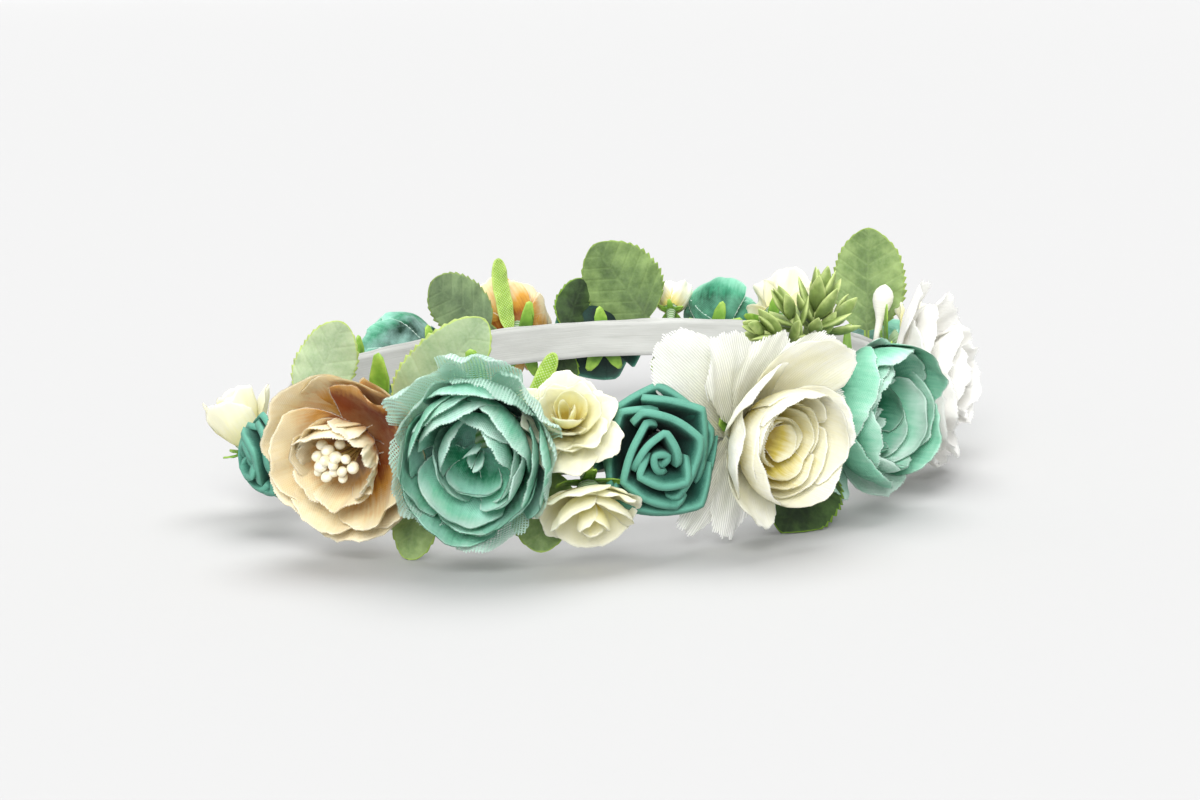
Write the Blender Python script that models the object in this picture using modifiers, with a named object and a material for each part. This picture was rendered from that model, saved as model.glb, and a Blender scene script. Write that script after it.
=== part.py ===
"""A wired flower crown: fabric and foam flowers with leaves on a ribbon-covered oval wire hoop.

Units are metres, +Z is up. The origin is the centre of the head opening, at the height of the
table that the crown lies on. +X runs along the long axis of the oval, towards the crown's right end.
"""
import math

import bmesh
import bpy
from mathutils import Matrix, Vector

MM = 0.001

# Driving dimensions of the hoop
OPENING_LENGTH = 184 * MM       # head opening along X, inside the lining ribbon
OPENING_WIDTH = 146 * MM        # head opening along Y
BAND_HEIGHT = 11 * MM           # width of both ribbons
BAND_MID_HEIGHT = 26 * MM       # middle of the band above the table
RIBBON_THICKNESS = 0.5 * MM
WIRE_DIAMETER = 1.8 * MM        # paper-covered hoop wire
CLEARANCE = 0.3 * MM            # gap between neighbouring pieces
HOOP_POINTS = 56                # corners of each oval ring

# Flowers, leaves and small parts
STEM_RADIUS = 1.2 * MM
CALYX_SHARE = 0.30              # radius of the calyx's flare over the radius of its flower
STEM_LEAD = 1.0 * MM            # straight start of a stem, square to the ribbon
HEAD_SEGMENTS = 16
LEAF_THICKNESS = 0.5 * MM
STALK_WIDTH = 2.0 * MM
STALK_LENGTH = 3.5 * MM
LEAF_STANDOFF = 0.3 * MM        # leaf face to ribbon, at the foot of its stalk
PEARL_BUNDLE_RADIUS = 4.6 * MM
PEARL_BUNDLE_HEIGHT = 6.5 * MM
SPRIG_LEAF_LENGTH = 11 * MM
SPRIG_LEAF_WIDTH = 5.2 * MM
GOLDEN_ANGLE = math.radians(137.5)

# Layers of the band, as distances outward from the edge of the head opening
WIRE_REACH = RIBBON_THICKNESS + CLEARANCE + WIRE_DIAMETER / 2
OUTER_RIBBON_REACH = WIRE_REACH + WIRE_DIAMETER / 2 + CLEARANCE
BAND_DEPTH = OUTER_RIBBON_REACH + RIBBON_THICKNESS
LEAF_REACH = BAND_DEPTH + LEAF_STANDOFF + LEAF_THICKNESS / 2

# Half sections of the flower heads from the middle of the face, round the rim, to the back:
# (distance from the axis, distance forward), both as shares of the head's radius
HEAD_PROFILES = {
    "open_rose": ((0, 0.12), (0.30, 0.12), (0.62, 0.42), (0.82, 0.48), (0.97, 0.28),
                  (1.0, 0.02), (0.80, -0.34), (0.42, -0.50), (0, -0.50)),
    "ranunculus": ((0, 0.34), (0.34, 0.36), (0.58, 0.56), (0.80, 0.46), (0.97, 0.16),
                   (0.98, -0.12), (0.78, -0.44), (0.42, -0.58), (0, -0.58)),
    "rose": ((0, 0.62), (0.26, 0.60), (0.50, 0.42), (0.86, 0.34), (1.0, 0.14),
             (0.94, -0.12), (0.64, -0.42), (0.38, -0.50), (0, -0.50)),
    "foam_rose": ((0, 0.46), (0.40, 0.48), (0.74, 0.42), (0.97, 0.20),
                  (1.0, -0.04), (0.82, -0.36), (0.42, -0.50), (0, -0.50)),
    "bud": ((0, 1.05), (0.42, 0.95), (0.82, 0.50), (1.0, 0.0), (0.80, -0.48), (0.40, -0.70), (0, -0.70)),
}

# Petal and leaf colours: linear red, green, blue
COLOURS = {
    "peach": (0.76, 0.62, 0.40),
    "teal": (0.08, 0.36, 0.26),
    "aqua": (0.36, 0.68, 0.55),
    "cream": (0.88, 0.86, 0.62),
    "ivory": (0.90, 0.88, 0.74),
    "white": (0.90, 0.89, 0.84),
    "foam": (0.03, 0.20, 0.15),
    "gold": (0.80, 0.60, 0.22),
    "leaf": (0.20, 0.34, 0.09),
    "dark_leaf": (0.04, 0.08, 0.03),
    "pale_leaf": (0.48, 0.60, 0.38),
    "bright_leaf": (0.28, 0.52, 0.07),
    "frosted_leaf": (0.26, 0.36, 0.12),
    "calyx": (0.12, 0.26, 0.06),
    "satin": (0.80, 0.80, 0.77),
    "wire": (0.60, 0.60, 0.56),
    "pearl": (0.88, 0.86, 0.76),
}

# Flowers along the hoop: name, kind, angle round the hoop, reach and height of the head's middle
# (mm, from the opening's edge and from the band's middle), radius (mm), yaw and pitch of its face
# (degrees), colour
FLOWERS = (
    ("cream_bud_left", "bud", 145, 15.0, -2.5, 6.5, -20, 48, "cream"),
    ("foam_rose_left", "foam_rose", 159, 13.5, -6.5, 8.5, 0, -6, "foam"),
    ("peach_rose_front", "open_rose", 183, 17.0, -1.0, 17.2, 12, -6, "peach"),
    ("teal_ranunculus_front", "ranunculus", 205, 18.0, 1.0, 16.8, 0, -14, "teal"),
    ("cream_rose_upper", "rose", 219.5, 14.5, 10.5, 10.0, -4, 22, "cream"),
    ("cream_rose_lower", "rose", 221, 15.0, -12.5, 9.8, 0, -38, "cream"),
    ("foam_rose_front", "foam_rose", 232, 15.5, 0.0, 12.6, -12, -4, "foam"),
    ("ivory_rose_front", "rose", 250, 19.0, 1.0, 18.6, 4, -8, "ivory"),
    ("aqua_ranunculus_front", "ranunculus", 275.5, 17.0, -1.0, 16.0, 0, 0, "aqua"),
    ("white_rose_right", "rose", 299, 16.0, 3.0, 17.4, 0, 4, "white"),
    ("cream_rose_right", "rose", 322, 14.0, 6.0, 11.5, 0, 12, "cream"),
    ("aqua_ranunculus_right", "ranunculus", 345, 16.5, -10.4, 17.0, 0, 0, "teal"),
    ("cream_rose_back", "rose", 4, 14.0, 6.5, 11.5, 0, 14, "cream"),
    ("teal_ranunculus_back", "ranunculus", 18, 15.0, 1.5, 12.0, 0, 6, "aqua"),
    ("pale_bud_back", "bud", 28, 12.5, 9.0, 5.5, 0, 28, "ivory"),
    ("foam_rose_back", "foam_rose", 43, 14.5, -1.0, 12.5, 0, 0, "foam"),
    ("peach_rose_back", "open_rose", 60, 15.0, 2.0, 13.5, 0, 8, "peach"),
    ("teal_ranunculus_left", "ranunculus", 81, 15.0, -1.0, 12.5, 0, 4, "teal"),
    ("ivory_rose_left", "rose", 99, 13.5, -1.5, 10.0, 0, 0, "ivory"),
)

# The pieces that the crown lies on, pressed flat where they meet the table
PRESSED = ("aqua_ranunculus_right", "leaf_under_peach", "leaf_under_ivory", "leaf_under_left")

# Leaves: name, angle of the foot round the hoop, its height (a share of half the ribbon, so 1 is
# the upper edge), length, width (mm), lean along the hoop from upright, tilt outward, turn about
# the midrib (degrees), colour
LEAVES = (
    ("leaf_left", 162, 0.95, 26, 16, 12, -24, 46, "pale_leaf"),
    ("leaf_behind_peach", 188, 0.95, 38, 18, 42, -2, 20, "pale_leaf"),
    ("leaf_slim_front", 210.5, 0.73, 21, 7, 24, 10, 0, "bright_leaf"),
    ("leaf_under_peach", 193, -0.36, 25, 13, -178, 12, 0, "leaf"),
    ("leaf_under_cream", 214.5, -0.18, 23, 16, -178, 8, 0, "leaf"),
    ("leaf_under_ivory", 265, -0.95, 29, 22, -142, 12, 32, "dark_leaf"),
    ("leaf_under_left", 108, -0.18, 27, 15, 176, 18, 0, "leaf"),
    ("leaf_round_right", 334, 0.73, 34, 22, 0, 2, 52, "leaf"),
    ("leaf_sage_back", 66, 0.91, 28, 18, 52, 2, 0, "frosted_leaf"),
    ("leaf_bright_back", 62.5, 0.36, 22, 9, 6, 7, 0, "bright_leaf"),
    ("leaf_big_back", 32, 0.55, 32, 25, 34, 3, 0, "leaf"),
    ("leaf_dark_back", 51, 0.36, 19, 12, -28, 16, 0, "dark_leaf"),
    ("leaf_low_back", 50, -0.36, 20, 13, 160, 10, 0, "dark_leaf"),
    ("leaf_low_right_back", 30, -0.36, 20, 13, -160, 10, 0, "leaf"),
)

SPRIG = {"angle": 263, "foot_height": 3 * MM, "fork_height": 19 * MM, "fork_reach": 5 * MM}
# Branches of the sprig: lean along the hoop, tilt outward (degrees), length (mm), number of leaves
SPRIG_BRANCHES = ((0, 2, 12, 6), (-64, 4, 11, 4), (58, -2, 11, 4))
WHITE_BUD = {"angle": 328, "foot_height": 4 * MM, "length": 18 * MM, "radius": 3.0 * MM, "tilt": 5}


def start_scene():
    """Empty the scene and make the collections for the parts and for the cutters."""
    for item in list(bpy.data.objects):
        bpy.data.objects.remove(item, do_unlink=True)
    collections = []
    for name in ("flower_crown", "cutters"):
        collection = bpy.data.collections.new(name)
        bpy.context.scene.collection.children.link(collection)
        collections.append(collection)
    return collections


def material(name, colour, roughness=0.85):
    result = bpy.data.materials.new(name)
    result.use_nodes = True
    shader = result.node_tree.nodes["Principled BSDF"]
    shader.inputs["Base Color"].default_value = (*colour, 1)
    shader.inputs["Roughness"].default_value = roughness
    shader.inputs["Metallic"].default_value = 0
    return result


def add_object(name, data, collection, colour, roughness=0.85):
    item = bpy.data.objects.new(name, data)
    collection.objects.link(item)
    item.data.materials.append(material(name, colour, roughness))
    return item


def hoop_axes(angle):
    """Along-hoop, outward and up directions at an angle round the oval (degrees)."""
    turn = math.radians(angle)
    outward = Vector((math.cos(turn) / OPENING_LENGTH, math.sin(turn) / OPENING_WIDTH, 0)).normalized()
    along = Vector((-outward.y, outward.x, 0))
    return along, outward, Vector((0, 0, 1))


def hoop_point(angle, reach, height):
    """A point given by its angle, its distance outside the opening and its height from the band."""
    turn = math.radians(angle)
    edge = Vector((OPENING_LENGTH / 2 * math.cos(turn), OPENING_WIDTH / 2 * math.sin(turn), 0))
    outward = hoop_axes(angle)[1]
    return edge + outward * reach + Vector((0, 0, BAND_MID_HEIGHT + height))


def hoop_angles():
    return [360 * index / HOOP_POINTS for index in range(HOOP_POINTS)]


def make_ribbon(name, inner_reach, collection):
    """A closed oval strip, thickened outward from its inner face."""
    half = BAND_HEIGHT / 2
    rings = [[hoop_point(angle, inner_reach, height) for angle in hoop_angles()] for height in (-half, half)]
    mesh = bpy.data.meshes.new(name)
    count = HOOP_POINTS
    faces = [(i, (i + 1) % count, count + (i + 1) % count, count + i) for i in range(count)]
    mesh.from_pydata(rings[0] + rings[1], [], faces)
    ribbon = add_object(name, mesh, collection, COLOURS["satin"], 0.45)
    solid = ribbon.modifiers.new("ribbon_thickness", "SOLIDIFY")
    solid.thickness = RIBBON_THICKNESS
    solid.offset = 1
    return ribbon


def make_wire(name, points, radii, depth, collection, colour, closed=False):
    """A round wire or tapering stalk through the given points."""
    curve = bpy.data.curves.new(name, "CURVE")
    curve.dimensions = "3D"
    curve.bevel_depth = depth
    curve.bevel_resolution = 2
    curve.use_fill_caps = not closed
    spline = curve.splines.new("POLY")
    spline.points.add(len(points) - 1)
    for spot, point, radius in zip(spline.points, points, radii):
        spot.co = (*point, 1)
        spot.radius = radius
    spline.use_cyclic_u = closed
    return add_object(name, curve, collection, colour)


def make_turned(name, profile, axis_matrix, collection, colour):
    """A solid of revolution about local Z from (radius, height) points, face first."""
    mesh = bpy.data.meshes.new(name)
    edges = [(i, i + 1) for i in range(len(profile) - 1)]
    mesh.from_pydata([(radius, 0, height) for radius, height in profile], edges, [])
    item = add_object(name, mesh, collection, colour)
    item.matrix_world = axis_matrix
    screw = item.modifiers.new("turned", "SCREW")
    screw.steps = HEAD_SEGMENTS
    screw.render_steps = HEAD_SEGMENTS
    screw.use_merge_vertices = True
    screw.merge_threshold = 0.00001
    return item


def facing(angle, yaw, pitch):
    """The direction a flower looks: outward from the hoop, turned by yaw and raised by pitch."""
    outward = hoop_axes(angle)[1]
    level = Matrix.Rotation(math.radians(yaw), 3, "Z") @ outward
    return level * math.cos(math.radians(pitch)) + Vector((0, 0, math.sin(math.radians(pitch))))


def axis_frame(origin, forward, upright=Vector((0, 0, 1))):
    """A frame whose Z is forward and whose Y is as near to upright as it can be."""
    side = upright.cross(forward).normalized()
    top = forward.cross(side)
    rotation = Matrix((side, top, forward)).transposed().to_4x4()
    return Matrix.Translation(origin) @ rotation


def press_flat(item, cutters):
    """Cut away what would lie below the table top."""
    bpy.ops.mesh.primitive_cube_add(size=1)
    slab = bpy.context.object
    slab.name = item.name + "_table_cut"
    slab.data.transform(Matrix.Diagonal((0.1, 0.1, 0.02, 1)))
    slab.location = (item.location.x, item.location.y, -0.01)
    to_cutters(slab, cutters)
    cut = item.modifiers.new("pressed_flat", "BOOLEAN")
    cut.operation = "DIFFERENCE"
    cut.object = slab


def make_calyx(name, angle, height, head_back, direction, flare, parts):
    """The stem from the ribbon, flaring into the green cup behind a flower head."""
    outward = hoop_axes(angle)[1]
    reach_up = BAND_HEIGHT / 2 - STEM_RADIUS
    foot_height = max(-reach_up, min(reach_up, height))
    foot = hoop_point(angle, BAND_DEPTH + CLEARANCE, foot_height)
    cup_end = head_back - direction * CLEARANCE
    lead = foot + outward * STEM_LEAD
    neck = cup_end - direction * ((cup_end - lead).length / 2)
    radii = (1, 1, (1 + flare / STEM_RADIUS) / 2, flare / STEM_RADIUS)
    make_wire(name, (foot, lead, neck, cup_end), radii, STEM_RADIUS, parts, COLOURS["calyx"])


def make_flower(row, parts, cutters):
    name, kind, angle, reach, height, radius, yaw, pitch, colour = row
    radius *= MM
    middle = hoop_point(angle, reach * MM, height * MM)
    direction = facing(angle, yaw, pitch)
    frame = axis_frame(middle, direction)
    profile = [(r * radius, h * radius) for r, h in HEAD_PROFILES[kind]]
    head = make_turned(name, profile, frame, parts, COLOURS[colour])
    if name in PRESSED:
        press_flat(head, cutters)
    head_back = middle + direction * profile[-1][1]
    make_calyx(name + "_calyx", angle, height * MM, head_back, direction, radius * CALYX_SHARE, parts)
    if kind == "open_rose":
        make_pearls(name + "_stamens", profile[0][1], frame, parts)


def make_pearls(name, floor_height, frame, parts):
    """The bundle of pearl-headed stamens that stands in the cup of an open rose."""
    foot = floor_height + CLEARANCE
    top = foot + PEARL_BUNDLE_HEIGHT
    radius = PEARL_BUNDLE_RADIUS
    profile = ((0, top), (radius * 0.7, top - radius * 0.25), (radius, top - radius * 0.6),
               (radius * 0.8, top - radius), (radius * 0.4, foot), (0, foot))
    make_turned(name, profile, frame, parts, COLOURS["pearl"])


def leaf_outline(length, half):
    """Bezier points (handle, point, handle) of an egg-shaped blade on a stalk, foot at the origin."""
    stalk = STALK_WIDTH / 2
    blade = length - STALK_LENGTH
    belly = STALK_LENGTH + blade * 0.42
    reach = blade * 0.26
    left = [((-stalk * 0.5, -stalk * 0.4), (-stalk, 0), (-stalk, 0)),
            ((-stalk, STALK_LENGTH), (-stalk, STALK_LENGTH), (-half * 0.6, STALK_LENGTH)),
            ((-half, belly - reach), (-half, belly), (-half, belly + reach))]
    tip = ((-half * 0.45, length - blade * 0.10), (0, length), (half * 0.45, length - blade * 0.10))
    right = [tuple((-x, y) for x, y in reversed(spot)) for spot in reversed(left)]
    return left + [tip] + right


def make_leaf(row, parts, cutters):
    """A flat leaf with a short stalk, its foot against the ribbon."""
    name, angle, height, length, width, lean, tilt, turn, colour = row
    length *= MM
    half = width * MM / 2
    along, outward, up = hoop_axes(angle)
    lean, tilt = math.radians(lean), math.radians(tilt)
    in_face = along * math.sin(lean) + up * math.cos(lean)
    midrib = in_face * math.cos(tilt) + outward * math.sin(tilt)
    normal = (outward - midrib * outward.dot(midrib)).normalized()
    normal = Matrix.Rotation(math.radians(turn), 3, midrib) @ normal
    curve = bpy.data.curves.new(name, "CURVE")
    curve.dimensions = "2D"
    curve.fill_mode = "BOTH"
    curve.extrude = LEAF_THICKNESS / 2
    curve.resolution_u = 4
    spline = curve.splines.new("BEZIER")
    outline = leaf_outline(length, half)
    spline.bezier_points.add(len(outline) - 1)
    for spot, (before, point, after) in zip(spline.bezier_points, outline):
        spot.handle_left_type = spot.handle_right_type = "FREE"
        spot.handle_left = (*before, 0)
        spot.co = (*point, 0)
        spot.handle_right = (*after, 0)
    spline.use_cyclic_u = True
    leaf = add_object(name, curve, parts, COLOURS[colour])
    side = midrib.cross(normal)
    rotation = Matrix((side, midrib, normal)).transposed().to_4x4()
    turned_stalk = STALK_WIDTH / 2 * abs(math.sin(math.radians(turn)))
    foot = hoop_point(angle, LEAF_REACH + turned_stalk, height * BAND_HEIGHT / 2)
    leaf.matrix_world = Matrix.Translation(foot) @ rotation
    if name in PRESSED:
        bpy.context.view_layer.update()
        press_flat(curve_to_mesh(leaf, parts), cutters)


def curve_to_mesh(item, parts):
    """Swap a curve object for its mesh, with the caps welded on."""
    depsgraph = bpy.context.evaluated_depsgraph_get()
    mesh = bpy.data.meshes.new_from_object(item.evaluated_get(depsgraph))
    name, place = item.name, item.matrix_world.copy()
    welded = bmesh.new()
    welded.from_mesh(mesh)
    bmesh.ops.remove_doubles(welded, verts=welded.verts, dist=0.00001)
    welded.to_mesh(mesh)
    welded.free()
    bpy.data.objects.remove(item, do_unlink=True)
    result = bpy.data.objects.new(name, mesh)
    parts.objects.link(result)
    result.matrix_world = place
    return result


def to_cutters(item, cutters):
    """Keep a shape that only shapes another one out of sight, among the cutters."""
    for owner in item.users_collection:
        owner.objects.unlink(item)
    cutters.objects.link(item)
    item.hide_render = True
    item.display_type = "WIRE"


def join_to(item, piece):
    join = item.modifiers.new(piece.name, "BOOLEAN")
    join.operation = "UNION"
    join.object = piece


def make_fleshy_leaf(name, start, direction):
    bpy.ops.mesh.primitive_uv_sphere_add(segments=6, ring_count=5, radius=0.5)
    blade = bpy.context.object
    blade.name = name
    blade.data.transform(Matrix.Diagonal((SPRIG_LEAF_WIDTH, SPRIG_LEAF_WIDTH, SPRIG_LEAF_LENGTH, 1)))
    middle = start + direction * SPRIG_LEAF_LENGTH * 0.42
    blade.matrix_world = axis_frame(middle, direction, Vector((0.11, 0.23, 0.97)))
    return blade


def make_sprig(parts, cutters):
    """A moulded succulent sprig: a forked stem with fleshy leaves in spirals, joined into one solid."""
    angle = SPRIG["angle"]
    along, outward, up = hoop_axes(angle)
    foot = hoop_point(angle, BAND_DEPTH + CLEARANCE, SPRIG["foot_height"])
    bend = foot + outward * STEM_LEAD
    fork = hoop_point(angle, SPRIG["fork_reach"], SPRIG["fork_height"])
    colour = COLOURS["frosted_leaf"]
    for branch, (lean, tilt, length, count) in enumerate(SPRIG_BRANCHES):
        lean, tilt = math.radians(lean), math.radians(tilt)
        level = math.cos(tilt)
        forward = along * math.sin(lean) * level + up * math.cos(lean) * level + outward * math.sin(tilt)
        end = fork + forward * length * MM
        route = (foot, bend, fork, end) if branch == 0 else (fork - forward * STEM_RADIUS / 2, end)
        name = "succulent_sprig" if branch == 0 else f"sprig_branch_{branch}"
        twig = make_wire(name, route, [1] * len(route), STEM_RADIUS, parts, colour)
        bpy.context.view_layer.update()
        twig = curve_to_mesh(twig, parts)
        if branch == 0:
            sprig = twig
        else:
            to_cutters(twig, cutters)
            join_to(sprig, twig)
        side = forward.cross(outward).normalized()
        for index in range(count):
            share = index / (count - 1)
            spin = index * GOLDEN_ANGLE
            around = side * math.cos(spin) + side.cross(forward) * math.sin(spin)
            opening = math.radians(68 - 56 * share)
            direction = forward * math.cos(opening) + around * math.sin(opening)
            start = fork.lerp(end, 0.35 + 0.65 * share)
            blade = make_fleshy_leaf(f"sprig_leaf_{branch}_{index}", start, direction)
            to_cutters(blade, cutters)
            join_to(sprig, blade)


def make_white_bud(parts):
    """A small closed white bud on a bare stem, standing above the right-hand flowers."""
    angle = WHITE_BUD["angle"]
    foot = hoop_point(angle, BAND_DEPTH + CLEARANCE, WHITE_BUD["foot_height"])
    outward = hoop_axes(angle)[1]
    bend = foot + outward * STEM_LEAD
    tilt = math.radians(WHITE_BUD["tilt"])
    rise = Vector((0, 0, math.cos(tilt))) + outward * math.sin(tilt)
    length = WHITE_BUD["length"]
    swell = WHITE_BUD["radius"] / STEM_RADIUS
    points = [foot, bend] + [bend + rise * length * share for share in (0.35, 0.6, 0.85, 1.0)]
    make_wire("white_bud", points, (1, 1, 1, swell, swell, 0.5), STEM_RADIUS, parts, COLOURS["white"])


def main():
    parts, cutters = start_scene()
    make_ribbon("lining_ribbon", 0, parts)
    hoop = [hoop_point(angle, WIRE_REACH, 0) for angle in hoop_angles()]
    make_wire("hoop_wire", hoop, [1] * HOOP_POINTS, WIRE_DIAMETER / 2, parts, COLOURS["wire"], closed=True)
    make_ribbon("outer_ribbon", OUTER_RIBBON_REACH, parts)
    for row in FLOWERS:
        make_flower(row, parts, cutters)
    for row in LEAVES:
        make_leaf(row, parts, cutters)
    make_sprig(parts, cutters)
    make_white_bud(parts)


main()
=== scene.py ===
"""The looks of a wired flower crown: fabric, paper and foam flowers on a satin ribbon hoop.

Units are metres. Every flower, leaf and ribbon is placed from its solid in the frame.
"""
import math
import random

import bmesh
import bpy
import numpy as np
from mathutils import Matrix, Vector


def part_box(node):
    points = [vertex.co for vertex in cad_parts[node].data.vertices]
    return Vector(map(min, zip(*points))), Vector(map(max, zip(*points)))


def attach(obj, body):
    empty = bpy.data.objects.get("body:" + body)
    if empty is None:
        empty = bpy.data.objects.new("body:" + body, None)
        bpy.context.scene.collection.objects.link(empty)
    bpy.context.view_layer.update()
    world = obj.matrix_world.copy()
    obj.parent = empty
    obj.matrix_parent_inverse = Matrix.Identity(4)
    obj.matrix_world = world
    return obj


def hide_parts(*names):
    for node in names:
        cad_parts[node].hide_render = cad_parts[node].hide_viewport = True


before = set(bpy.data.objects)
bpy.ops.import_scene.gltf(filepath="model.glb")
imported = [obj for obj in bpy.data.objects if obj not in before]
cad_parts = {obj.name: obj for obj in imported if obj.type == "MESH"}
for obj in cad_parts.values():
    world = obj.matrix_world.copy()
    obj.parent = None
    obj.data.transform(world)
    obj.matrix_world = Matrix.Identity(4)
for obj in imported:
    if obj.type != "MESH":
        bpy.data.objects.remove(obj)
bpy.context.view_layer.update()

MM = 0.001
UP = Vector((0, 0, 1))

# Thickness of the cloths and the foam, and the gaps that keep cloth off the outer ribbon and the table
PETAL_THICKNESS = 0.22 * MM
FOAM_THICKNESS = 1.7 * MM
SEPAL_THICKNESS = 0.35 * MM
LEAF_THICKNESS = 0.3 * MM
SATIN_THICKNESS = 0.4 * MM
RIBBON_GAP = 0.35 * MM
TABLE_GAP = 0.4 * MM

# Stamens: how many, and the radius of a pearl and of a thread
STAMEN_COUNT = 15
PEARL_RADIUS = 1.4 * MM
THREAD_RADIUS = 0.22 * MM

# Leaves of a sprig and stamens follow one another at this angle
GOLDEN_ANGLE = math.radians(137.5)

# Points on the curve that a petal follows from its foot to its tip
MIDDLE_LINE_POINTS = 80

# The hoop, read from the frame
LINING_LOW, LINING_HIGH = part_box("lining_ribbon")
OUTER_LOW, OUTER_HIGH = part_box("outer_ribbon")
RIBBON_THICKNESS = 0.5 * MM
HALF_LENGTH = (LINING_HIGH.x - LINING_LOW.x) / 2 - RIBBON_THICKNESS
HALF_WIDTH = (LINING_HIGH.y - LINING_LOW.y) / 2 - RIBBON_THICKNESS
BAND_LOW, BAND_HIGH = LINING_LOW.z, LINING_HIGH.z
BAND_MIDDLE = (BAND_LOW + BAND_HIGH) / 2
BAND_DEPTH = (OUTER_HIGH.x - OUTER_LOW.x) / 2 - HALF_LENGTH


# ---------------------------------------------------------------- colours and nodes

MATH = "ShaderNodeMath"
NOISE = "ShaderNodeTexNoise"
RAMP = "ShaderNodeValToRGB"
MIX = "ShaderNodeMix"
BUMP = "ShaderNodeBump"
PRINCIPLED = "ShaderNodeBsdfPrincipled"
ATTRIBUTE = "ShaderNodeAttribute"
ADD = {"operation": "ADD"}
SUBTRACT = {"operation": "SUBTRACT"}
MULTIPLY = {"operation": "MULTIPLY"}
MULTIPLY_ADD = {"operation": "MULTIPLY_ADD"}
SINE = {"operation": "SINE"}
LESS_THAN = {"operation": "LESS_THAN"}
GREATER_THAN = {"operation": "GREATER_THAN"}
MAXIMUM = {"operation": "MAXIMUM"}
MIX_COLOUR = {"data_type": "RGBA"}
CLOTH_MAP = {"uv_map": "cloth_mm"}
TONE = {"attribute_name": "tone"}
EDGE = {"attribute_name": "edge_mm"}
# Attribute of the dye offset, which also carries painted shade
DYE_AND_SHADE = {"attribute_name": "dye"}
# Distance between a leaf's side veins (mm)
VEIN_SPACING = 4.4


def linear(hex_colour):
    """An sRGB hex colour as linear red, green, blue, alpha."""
    parts = [int(hex_colour[i:i + 2], 16) / 255 for i in (1, 3, 5)]
    curve = [p / 12.92 if p <= 0.04045 else ((p + 0.055) / 1.055) ** 2.4 for p in parts]
    return (*curve, 1.0)


def as_colour(value):
    """Hex text as a colour; any other value as it is."""
    return linear(value) if isinstance(value, str) else value


def node(tree, kind, settings=None, *values, output=0, **named):
    """Add a node with its settings and links.

    Values fill the inputs in order, named ones by name, or by number as in i6. Each is a number, a colour
    or the socket that feeds the input. The setting "stops" holds a colour ramp's positions and colours.
    Returns one output, picked by name or number, or all of them where output is None.
    """
    item = tree.nodes.new(kind)
    settings = dict(settings or {})
    for index, (position, colour) in enumerate(settings.pop("stops", ())):
        elements = item.color_ramp.elements
        stop = elements[index] if index < 2 else elements.new(position)
        stop.position = position
        stop.color = as_colour(colour)
    for key, value in settings.items():
        setattr(item, key, value)
    fed = list(zip(item.inputs, values))
    for key, value in named.items():
        socket_name = int(key[1:]) if key[1:].isdigit() else key.replace("_", " ")
        fed.append((item.inputs[socket_name], value))
    for socket, value in fed:
        if isinstance(value, bpy.types.NodeSocket):
            tree.links.new(value, socket)
        else:
            socket.default_value = as_colour(value)
    if output is None or not len(item.outputs):
        return item.outputs
    return item.outputs[output]


def add_object(name, data):
    item = bpy.data.objects.new(name, data)
    bpy.context.scene.collection.objects.link(item)
    return item


def new_material(name):
    material = bpy.data.materials.new(name)
    material.use_nodes = True
    material.node_tree.nodes.clear()
    return material, material.node_tree


def with_surface(material, surface):
    node(material.node_tree, "ShaderNodeOutputMaterial", Surface=surface)
    return material


def threads(tree, runs, spacing):
    """Waves that rise once a thread, along each of the given coordinates (mm)."""
    turns = [node(tree, MATH, MULTIPLY, run, 2 * math.pi / spacing) for run in runs]
    return [node(tree, MATH, SINE, turn) for turn in turns]


# ---------------------------------------------------------------- materials

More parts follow.
